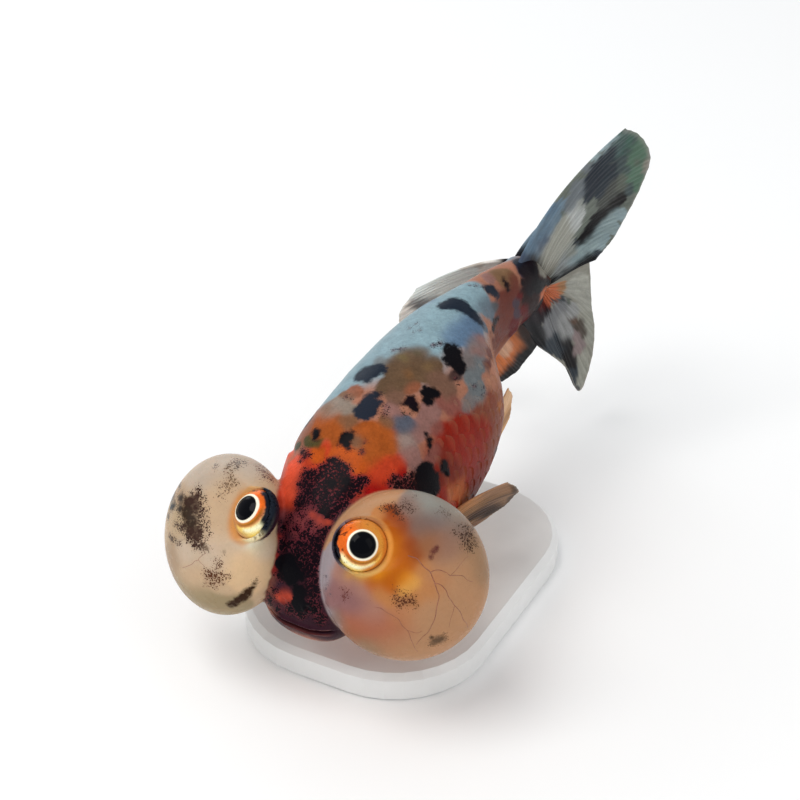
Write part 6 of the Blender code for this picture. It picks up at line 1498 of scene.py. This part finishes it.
# and of the tail, as patches: centre, radius, colour
TAIL_AREAS = {
    "tail_fin_left_upper": (
    ((3.3, 86.1, -3.7), 2.8, BONE_GREY), ((4.0, 89.9, -2.4), 2.2, BONE_GREY), ((2.7, 86.4, -6.5), 1.8, BONE_WARM),
    ((4.3, 92.0, -1.2), 1.6, BONE_GREY), ((4.4, 90.4, -7.9), 1.6, ASH_GREEN), ((4.3, 92.8, -7.1), 1.4, BONE),
    ((3.9, 87.6, -8.1), 1.2, ASH_GREEN), ((5.1, 96.3, 4.4), 1.4, ASH_BLUE), ((4.5, 93.9, 2.7), 1.2, ASH_BLUE),
    ((5.0, 95.3, -0.2), 1.5, BONE_WHITE), ((4.8, 94.2, -1.7), 1.3, BONE_WHITE), ((5.2, 96.3, 0.9), 0.9, BONE),
    ((7.4, 105.4, -2.2), 1.6, SMOKE), ((6.8, 103.1, -3.3), 1.4, SMOKE), ((8.1, 108.3, -3.0), 1.4, SMOKE_GREEN),
    ((9.5, 108.9, 7.2), 2.0, SEA), ((9.8, 112.3, 2.5), 2.0, SEA_LIGHT), ((8.7, 107.0, 7.1), 1.6, SEA_DIM),
    ((9.2, 111.9, -2.5), 1.9, SEA_LIGHT), ((9.4, 113.5, -6.5), 1.5, SEA_LIGHT),
    ((10.1, 114.9, -2.9), 0.9, BONE_WARM), ((8.6, 105.5, 10.5), 0.9, ICE_DIM), ((7.6, 103.2, 9.7), 0.9, ICE_DIM),
    ((6.8, 100.8, 8.8), 0.7, ICE_DIM), ((6.1, 98.8, 7.7), 0.8, ASH_BLUE), ((3.3, 90.0, 2.9), 1.0, STEEL_BLUE),
    ((3.8, 92.1, 4.2), 0.8, STEEL_BLUE), ((8.9, 107.4, 7.3), 1.0, CHAR_GREEN), ((8.0, 105.1, 6.8), 1.2, CHAR),
    ((7.2, 102.8, 6.0), 1.2, CHAR), ((6.6, 101.3, 5.0), 1.4, CHAR_BLUE), ((6.2, 99.9, 3.6), 1.4, CHAR_BLUE),
    ((5.8, 98.7, 2.2), 1.2, CHAR_BLUE), ((5.6, 97.8, 1.3), 0.8, CHAR), ((8.3, 107.6, 2.2), 1.2, CHAR_GREEN),
    ((7.6, 105.4, 2.1), 1.2, CHAR), ((7.1, 103.7, 1.0), 1.2, CHAR), ((6.6, 102.0, -0.1), 1.0, CHAR),
    ((8.5, 110.1, -5.5), 1.0, CHAR_GREEN), ((7.8, 107.8, -5.8), 1.1, SOOT), ((7.2, 105.5, -6.3), 1.3, SOOT),
    ((6.5, 103.3, -6.4), 1.3, SOOT), ((5.9, 101.0, -6.6), 1.3, SOOT), ((5.5, 99.1, -7.4), 1.3, SOOT),
    ((5.2, 96.7, -7.6), 1.0, SOOT), ((4.6, 94.5, -6.7), 0.6, CHAR), ((7.4, 106.3, -8.3), 0.8, ICE_DIM),
    ((6.9, 104.1, -8.9), 1.15, ICE), ((6.6, 101.0, -8.8), 1.15, ICE), ((6.4, 97.7, -8.8), 1.15, ICE),
    ((6.1, 95.3, -8.6), 1.15, ICE), ((5.7, 92.7, -8.5), 0.7, ICE_DIM), ((5.0, 90.6, -8.4), 0.7, ICE_DIM),
    ((8.2, 105.8, -10.9), 0.6, ICE_DIM), ((7.5, 101.1, -9.8), 0.6, ICE_DIM), ((2.3, 87.9, 1.6), 1.2, STEEL_LIGHT),
    ((1.7, 86.4, 0.3), 1.2, STEEL_LIGHT), ((1.4, 84.5, -1.3), 1.2, STEEL_LIGHT), ((2.7, 88.7, 2.2), 0.8, STEEL_BLUE),
    ((2.6, 86.5, 0.3), 0.9, STEEL_DARK), ((2.0, 85.2, -0.5), 0.9, STEEL_DARK), ((6.9, 94.6, -9.8), 1.35, JET),
    ((6.3, 92.4, -9.7), 1.35, JET), ((5.6, 90.4, -9.8), 1.35, JET), ((4.8, 88.4, -9.5), 1.35, JET),
    ((3.9, 86.5, -9.3), 1.2, JET), ((3.5, 86.4, -9.4), 1.2, JET), ((7.6, 97.6, -10.9), 0.9, CHAR),
    ((7.2, 105.2, -8.6), 1.1, ICE), ((6.7, 102.5, -8.9), 1.1, ICE), ((6.5, 99.4, -8.8), 1.1, ICE),
    ((6.2, 96.5, -8.7), 1.0, ICE), ((5.9, 94.0, -8.6), 0.9, ICE), ((5.3, 91.7, -8.5), 0.8, ICE_DIM),
    ((7.9, 104.0, -10.6), 1.0, ICE), ((7.4, 99.6, -9.9), 1.0, ICE_DIM), ((8.4, 107.8, -9.6), 1.0, ICE_DIM),
    ((1.1, 79.8, 0.4), 1.5, STEEL_DARK), ((1.7, 82.6, 1.4), 1.4, STEEL_LIGHT), ((2.3, 86.0, 3.0), 1.3, STEEL_BLUE),
    ((3.0, 89.6, 4.4), 1.2, STEEL_LIGHT), ((9.4, 111.4, 5.2), 0.8, CHAR_GREEN), ((9.0, 109.6, 4.4), 0.8, CHAR_GREEN),
    ((9.4, 112.2, -0.4), 0.8, SMOKE_GREEN), ((8.8, 109.8, -0.6), 0.8, CHAR_GREEN), ((9.6, 108.2, 9.4), 0.9, SEA_DIM),
    ((2.1, 83.5, -1.9), 1.2, INK_PLUM), ((1.8, 83.0, -3.6), 2.0, INK_PLUM), ((3.3, 86.4, -9.4), 2.3, JET)),
    "tail_fin_left_lower": (
    ((5.9, 92.6, -15.0), 1.8, BONE_GREY), ((6.2, 94.9, -20.6), 1.9, BONE_GREY),
    ((6.2, 95.2, -26.0), 1.5, STONE_WARM), ((6.1, 94.8, -29.6), 1.3, STONE_WARM),
    ((5.3, 90.6, -13.7), 1.2, BONE_GREY), ((3.0, 86.0, -18.8), 1.6, PEWTER_DIM), ((3.9, 88.2, -21.0), 1.7, PEWTER),
    ((3.7, 88.0, -18.4), 1.2, PEWTER_DIM), ((4.2, 88.8, -24.0), 1.5, PEWTER), ((3.0, 84.8, -20.3), 1.4, PEWTER_DIM),
    ((4.0, 88.6, -17.3), 1.2, PEWTER_DIM), ((4.7, 90.6, -20.1), 1.4, PEWTER), ((5.6, 92.2, -33.5), 1.1, STONE_WARM),
    ((5.6, 91.8, -36.3), 1.1, STONE_WARM), ((5.4, 90.6, -38.3), 0.9, STONE_WARM),
    ((5.1, 91.4, -27.1), 0.9, ROSE_ASH), ((5.4, 91.8, -30.0), 1.0, ROSE_ASH), ((5.0, 90.6, -30.8), 0.7, ROSE_ASH),
    ((4.8, 90.9, -22.6), 0.8, UMBER_ROSE), ((5.1, 91.7, -24.8), 0.8, UMBER_GREY),
    ((5.7, 93.3, -27.8), 0.9, UMBER_GREY), ((5.5, 93.0, -25.5), 1.0, UMBER_GREY), ((3.5, 85.9, -23.7), 1.6, CHAR),
    ((4.0, 87.7, -25.7), 1.4, SOOT), ((3.9, 86.5, -26.6), 1.4, CHAR), ((4.3, 88.3, -28.7), 1.4, SOOT),
    ((4.7, 89.0, -31.8), 1.2, SOOT), ((3.3, 82.9, -23.1), 1.2, CHAR), ((4.9, 89.1, -34.5), 1.0, CHAR),
    ((5.0, 89.2, -37.3), 0.7, CHAR), ((5.0, 89.8, -39.8), 0.6, CHAR), ((1.7, 84.4, -14.1), 1.2, MAROON_RED),
    ((2.5, 84.6, -15.8), 1.0, INK_PLUM), ((2.2, 82.4, -14.6), 1.4, INK_PLUM), ((2.2, 80.5, -16.7), 1.2, JET),
    ((2.7, 81.8, -19.2), 1.2, JET), ((2.9, 81.0, -20.7), 0.9, JET), ((1.6, 84.5, -14.2), 1.2, MAROON),
    ((2.3, 86.7, -13.2), 1.3, EMBER), ((3.4, 86.7, -12.1), 1.2, EMBER), ((4.5, 88.1, -12.0), 1.0, EMBER_PALE),
    ((1.9, 86.0, -14.2), 0.8, EMBER_DEEP), ((3.2, 86.7, -14.4), 0.6, CHAR), ((4.0, 88.4, -15.5), 0.6, CHAR),
    ((4.6, 89.9, -16.9), 0.5, SMOKE_GREEN), ((1.9, 78.8, -15.2), 1.7, JET), ((2.3, 79.8, -18.6), 1.5, JET),
    ((1.8, 80.0, -13.0), 1.4, INK_PLUM),
    ),
    "tail_fin_right": (
    ((-17.6, 78.8, -11.6), 2.5, FIN_PALE), ((-14.1, 80.3, -10.3), 2.1, FIN_PALE),
    ((-10.8, 82.0, -9.5), 1.7, FIN_PALE), ((-7.3, 83.5, -7.5), 1.5, FIN_BEIGE),
    ((-20.5, 78.1, -12.6), 1.7, FIN_PALE), ((-22.2, 76.4, -15.9), 1.7, FIN_BEIGE),
    ((-21.1, 76.7, -17.9), 1.7, FIN_PALE), ((-19.8, 77.6, -14.4), 1.2, FIN_PATCH),
    ((-18.2, 78.4, -14.4), 1.2, FIN_PATCH), ((-16.8, 79.1, -13.8), 1.1, FIN_PATCH),
    ((-21.3, 77.0, -14.9), 0.8, FIN_PATCH),
    ((-2.4, 86, -7), 3.0, INK_PLUM), ((-2.6, 92, -6), 3.4, STEEL_BLUE), ((-2.8, 99, -8), 3.6, BONE_GREY),
    ((-3.2, 96, -14), 3.0, BONE_WHITE), ((-3.2, 104, -12), 3.0, CHAR_BLUE), ((-3.4, 108, -16), 3.2, CHAR),
    ((-3.2, 112, -15), 3.0, SEA_DIM), ((-3.4, 106, -21), 3.4, SMOKE), ((-4, 95, -17), 2.6, JET),
    ((-9, 84, -18), 3.0, SMOKE), ((-13, 82, -24), 3.4, BONE_GREY), ((-15, 81, -30), 3.0, CHAR)),
}


def spread(rays, u):
    rays = np.asarray(rays, float)
    n = len(rays) - 1
    i = min(int(u * n), n - 1)
    t = u * n - i
    p1, p2 = rays[i], rays[i + 1]
    p0 = rays[i - 1] if i > 0 else 2 * p1 - p2
    p3 = rays[i + 2] if i < n - 1 else 2 * p2 - p1
    return 0.5 * (2 * p1 + (p2 - p0) * t + (2 * p0 - 5 * p1 + 4 * p2 - p3) * t * t
                  + (3 * p1 - 3 * p2 + p3 - p0) * t ** 3)


def fin_family(name):
    return name if name.startswith("tail") else name.rsplit("_", 1)[0]


def fin_piece(name, seed):
    rays = FINS[name]
    kind = fin_family(name)
    big = name.startswith("tail")
    nu, nt = (150, 70) if big else (90, 46)
    count = RAYS[kind]
    u = np.linspace(0, 1, nu)
    tips = np.array([spread(rays, v) for v in u])       # nu, 3, 3
    length = np.linalg.norm(tips[:, 2] - tips[:, 0], axis=1)
    start = -(3.6 if big else 1.4) / length
    # soft ray tips stand a little past the membrane between them
    phase = u * count
    notch = 0.5 - 0.5 * np.cos(2 * math.pi * phase)
    jag = noise(np.stack([u * 9, u * 0, u * 0 + seed], 1), 1.0, seed)
    deep = (0.10 * notch + 0.16 * (0.5 + 0.5 * jag)) / length
    deep = deep * smooth(u, 0.0, 0.03) * smooth(1 - u, 0.0, 0.03)
    end = 1 - deep - 0.10 / length
    k = np.linspace(0, 1, nt)
    tt = start[:, None] + (end - start)[:, None] * k[None, :]
    uu = np.repeat(u[:, None], nt, 1)
    root, mid, tip = tips[:, None, 0], tips[:, None, 1], tips[:, None, 2]
    bow = mid - (root + tip) / 2
    t3 = tt[..., None]
    grid = root + (tip - root) * t3 + bow * 4 * np.where(t3 > 0, t3 * (1 - t3), 0.35 * t3)
    du, dv = np.gradient(grid, axis=0), np.gradient(grid, axis=1)
    nrm = np.cross(du, dv)
    nrm /= np.maximum(np.linalg.norm(nrm, axis=2), 1e-9)[..., None]
    tc = np.clip(tt, 0, 1)
    split = smooth(tc, 0.42, 0.66)
    one = np.cos(2 * math.pi * uu * count)
    two = np.cos(4 * math.pi * uu * count)
    ridge = (1 - split) * one + split * (0.6 * two + 0.2 * one)
    ridge = np.sign(ridge) * np.abs(ridge) ** 0.8
    joint = 0.5 + 0.5 * np.cos(tt * length[:, None] * 2 * math.pi / 0.62)
    # gentle folds of the membrane, kept within the solid's thickness
    wave = 0.13 * np.sin(uu * math.pi * 5.0 + seed + 1.2 * tc) * smooth(tc, 0.15, 0.9)
    half = 0.36 * (1 - tc) ** 1.2 + 0.15 * tc + 0.02
    bump = 0.055 * ridge * (1 - 0.25 * tc) + 0.008 * joint * (ridge > 0.2)
    edge = np.minimum(smooth(uu, 0.0, 0.012), smooth(1 - uu, 0.0, 0.012)) * (1 - smooth(np.repeat(k[None, :], nu, 0), 0.985, 1.0) * 0.75)
    half = np.maximum((half + bump) * (0.35 + 0.65 * edge), 0.035)
    up = grid + nrm * (wave + half)[..., None]
    down = grid + nrm * (wave - half)[..., None]
    verts = np.concatenate([up.reshape(-1, 3), down.reshape(-1, 3)])
    size = nu * nt
    i, j = [g.ravel() for g in np.meshgrid(np.arange(nu - 1), np.arange(nt - 1), indexing="ij")]
    a, b, c, d = i * nt + j, (i + 1) * nt + j, (i + 1) * nt + j + 1, i * nt + j + 1
    faces = [np.stack([a, b, c, d], 1), np.stack([a, d, c, b], 1) + size]
    ring = np.concatenate([np.arange(nt - 1), (np.arange(nu - 1)) * nt + nt - 1,
                           (nu - 1) * nt + np.arange(nt - 1, 0, -1), np.arange(nu - 1, 0, -1) * nt])
    nxt = np.roll(ring, -1)
    faces.append(np.stack([ring, nxt, nxt + size, ring + size], 1))
    faces = np.concatenate(faces)
    obj = mesh_object("fish_" + name, verts, faces)
    bm = bmesh.new()
    bm.from_mesh(obj.data)
    if bm.calc_volume(signed=True) < 0:
        bmesh.ops.reverse_faces(bm, faces=bm.faces)
        bm.to_mesh(obj.data)
    bm.free()
    # colour
    U, T = np.tile(uu.ravel(), 2), np.tile(tc.ravel(), 2)
    L = np.tile(np.repeat(length[:, None], nt, 1).ravel(), 2)
    flow = np.stack([U * 22.0, T * 2.4, np.full_like(U, seed * 3.1)], 1)
    fine = np.stack([U * 70.0, T * 5.0, np.full_like(U, seed * 1.7)], 1)
    bend = 0.030 * rough_noise(flow, 1.0, seed + 3)
    drift = 0.075 * rough_noise(np.stack([U * 16, T * 3.0, U * 0], 1), 1.0, seed + 9)
    col = np.tile(linear(FIN_GROUND[kind]), (len(U), 1))
    if big:
        along = dv / np.maximum(np.linalg.norm(dv, axis=2), 1e-9)[..., None]
        lean = du / np.maximum(np.linalg.norm(du, axis=2), 1e-9)[..., None]
        q = np.tile(grid.reshape(-1, 3), (2, 1))
        q = q + np.tile(along.reshape(-1, 3), (2, 1)) * (1.5 * rough_noise(flow * (1.8, 0.5, 1), 1.0, seed + 3))[:, None]
        q = q + np.tile(lean.reshape(-1, 3), (2, 1)) * (0.5 * rough_noise(q, 3.0, seed + 5))[:, None]
        mix, total = patches(q, TAIL_AREAS[kind if "left" in kind else "tail_fin_right"], 1.8)
        col = col + smooth(total, 0.004, 0.08)[:, None] * (mix - col)
    for cu, ct, ru, rt, colour, strength in FIN_AREAS.get(kind, ()):
        d = np.sqrt(((U + bend - cu) / ru) ** 2 + ((T + drift - ct) / rt) ** 2)
        col = over(col, strength * (1 - smooth(d, 0.55, 1.35)), colour)
    tone = 1 + 0.16 * rough_noise(fine, 1.0, seed + 30) + 0.10 * rough_noise(flow, 1.0, seed + 31)
    rr = np.tile(ridge.ravel(), 2)
    tone = tone * (1 + 0.07 * rr)
    margin = smooth(T, 0.95, 1.0) * (0.0 if kind == "anal_fin" else 0.35)
    col = np.clip(col * tone[:, None], 0, 1)
    col = over(col, margin, (176, 170, 160))
    put(obj.data, "base", col, "FLOAT_COLOR")
    put(obj.data, "ray", np.clip(rr * 0.5 + 0.5, 0, 1), "FLOAT")
    put(obj.data, "fin", np.stack([U * 40.0, T * L, np.full_like(U, seed)], 1), "FLOAT_VECTOR")
    fv, ff = corner_arrays(obj.data)
    lower = np.bincount(ff, (fv >= size).astype(float))[ff] > 2.5
    uv = np.stack([U[fv] * 0.47 + np.where(lower, 0.515, 0.01), 0.01 + 0.97 * np.tile(np.repeat(k[None, :], nu, 0).ravel(), 2)[fv]], 1)
    corner_uv(obj.data, uv)
    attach(obj, "root")
    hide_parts(name)
    return obj


def fin_look():
    k = Look("fin_membrane", rough=0.4)
    k.set(Coat_Weight=0.02, Coat_Roughness=0.2, Specular_IOR_Level=0.06,
          Subsurface_Weight=0.08, Subsurface_Scale=0.0008, Subsurface_Radius=(1.0, 0.7, 0.5))
    at = k.attr("fin", "Vector")
    streak = k.noise(1.0, 4.0, 0.65, vec=k.vec("MULTIPLY", at, (1.5, 0.22, 1.0)))
    speck = k.noise(1.0, 3.0, 0.6, vec=k.vec("MULTIPLY", at, (1.2, 2.2, 1.0)))
    tone = k.math("ADD", k.math("MULTIPLY", streak, 0.7), k.math("MULTIPLY", speck, 0.3))
    tone = k.span(tone, 0.3, 0.7, 0.76, 1.22, "LINEAR")
    c = k.node("ShaderNodeCombineColor")
    for i in range(3):
        k.feed(c.inputs[i], tone)
    k.feed(k.bsdf.inputs["Base Color"], k.mix(1.0, k.attr("base"), c.outputs[0], "MULTIPLY"))
    k.feed(k.bsdf.inputs["Roughness"], k.span(speck, 0.3, 0.7, 0.34, 0.5, "LINEAR"))
    k.feed(k.bsdf.inputs["Normal"], k.bump(k.math("ADD", streak, k.math("MULTIPLY", k.attr("ray", "Fac"), 0.4)), 0.00006, 0.7))
    return k.mat


fin_mat = fin_look()
for n, name in enumerate(FINS):
    fin_piece(name, 2 + 3 * n).data.materials.append(fin_mat)


# ---------------------------------------------------------------------- stand
k = Look("stand_satin", rough=0.38)
k.set(Coat_Weight=0.15, Coat_Roughness=0.25)
k.feed(k.bsdf.inputs["Base Color"], k.mix(k.span(k.noise(0.08, 4.0, 0.6), 0.35, 0.65), (0.80, 0.80, 0.79, 1.0), (0.84, 0.84, 0.83, 1.0)))
k.feed(k.bsdf.inputs["Roughness"], k.span(k.noise(0.5, 4.0, 0.6), 0.3, 0.7, 0.32, 0.44, "LINEAR"))
k.feed(k.bsdf.inputs["Normal"], k.bump(k.noise(2.4, 3.0, 0.6), 0.00003, 0.5))
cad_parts["stand_base"].material_slots[0].material = k.mat
k = Look("stand_steel", rough=0.28)
k.set(Metallic=1.0)
grain = k.noise(1.0, 4.0, 0.6, vec=k.vec("MULTIPLY", k.mm(), (9.0, 9.0, 0.35)))
k.feed(k.bsdf.inputs["Base Color"], k.mix(k.span(grain, 0.3, 0.7), (0.52, 0.53, 0.55, 1.0), (0.66, 0.67, 0.69, 1.0)))
k.feed(k.bsdf.inputs["Roughness"], k.span(grain, 0.3, 0.7, 0.22, 0.38, "LINEAR"))
k.feed(k.bsdf.inputs["Normal"], k.bump(grain, 0.00002, 0.5))
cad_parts["stand_rod"].material_slots[0].material = k.mat

# ------------------------------------------------------- floor, light, camera
bpy.ops.mesh.primitive_plane_add(size=8.0, location=(0, 0, -0.00005))
floor = bpy.context.active_object
floor.name = "floor"
k = Look("floor_paper", rough=0.7)
k.set(Specular_IOR_Level=0.2)
k.feed(k.bsdf.inputs["Base Color"], k.mix(k.noise(0.004, 2.0), (0.93, 0.93, 0.93, 1.0), (0.95, 0.95, 0.95, 1.0)))
floor.data.materials.append(k.mat)

world = bpy.context.scene.world or bpy.data.worlds.new("world")
bpy.context.scene.world = world
world.use_nodes = True
back = world.node_tree.nodes["Background"]
back.inputs[0].default_value = (0.96, 0.98, 1.0, 1.0)
back.inputs[1].default_value = 0.64

CAM_BACK = Vector((0.40117, -0.74505, 0.53288)).normalized()
CAM_RIGHT = Vector((0.8805, 0.4741, 0.0)).normalized()
CAM_UP = CAM_BACK.cross(CAM_RIGHT).normalized()
CAM_AT = Vector((0.12035106, -0.22539777, 0.19834626))


def softbox(name, direction, distance, size, watts, colour=(1, 1, 1)):
    light = bpy.data.lights.new(name, "AREA")
    light.shape = "RECTANGLE"
    light.size, light.size_y = size
    light.energy = watts
    light.color = colour
    obj = bpy.data.objects.new(name, light)
    bpy.context.scene.collection.objects.link(obj)
    aim = Vector((0.0, 0.01, 0.03))
    obj.location = aim + direction.normalized() * distance
    obj.rotation_euler = (aim - obj.location).to_track_quat("-Z", "Y").to_euler()
    return obj


UP = Vector((0, 0, 1))
softbox("key", -0.55 * CAM_RIGHT + 0.35 * CAM_BACK + 1.0 * UP, 0.8, (0.5, 0.5), 3.4, (1.0, 0.985, 0.96))
softbox("fill", 0.9 * CAM_RIGHT + 0.7 * CAM_BACK + 0.35 * UP, 0.9, (0.6, 0.6), 1.0, (1.0, 0.97, 0.94))
softbox("rim", -0.3 * CAM_RIGHT - 1.0 * CAM_BACK + 0.9 * UP, 0.9, (0.6, 0.4), 1.4, (0.93, 0.97, 1.0))

camera = bpy.data.cameras.new("camera")
camera.lens = 84.645
camera.sensor_width = 36.0
camera.clip_start = 0.01
camera.clip_end = 20.0
cam = bpy.data.objects.new("camera", camera)
bpy.context.scene.collection.objects.link(cam)
cam.matrix_world = Matrix((
    (CAM_RIGHT.x, CAM_UP.x, CAM_BACK.x, CAM_AT.x),
    (CAM_RIGHT.y, CAM_UP.y, CAM_BACK.y, CAM_AT.y),
    (CAM_RIGHT.z, CAM_UP.z, CAM_BACK.z, CAM_AT.z),
    (0, 0, 0, 1)))
bpy.context.scene.camera = cam
bpy.context.scene.view_settings.view_transform = "Standard"
bpy.context.scene.view_settings.look = "None"
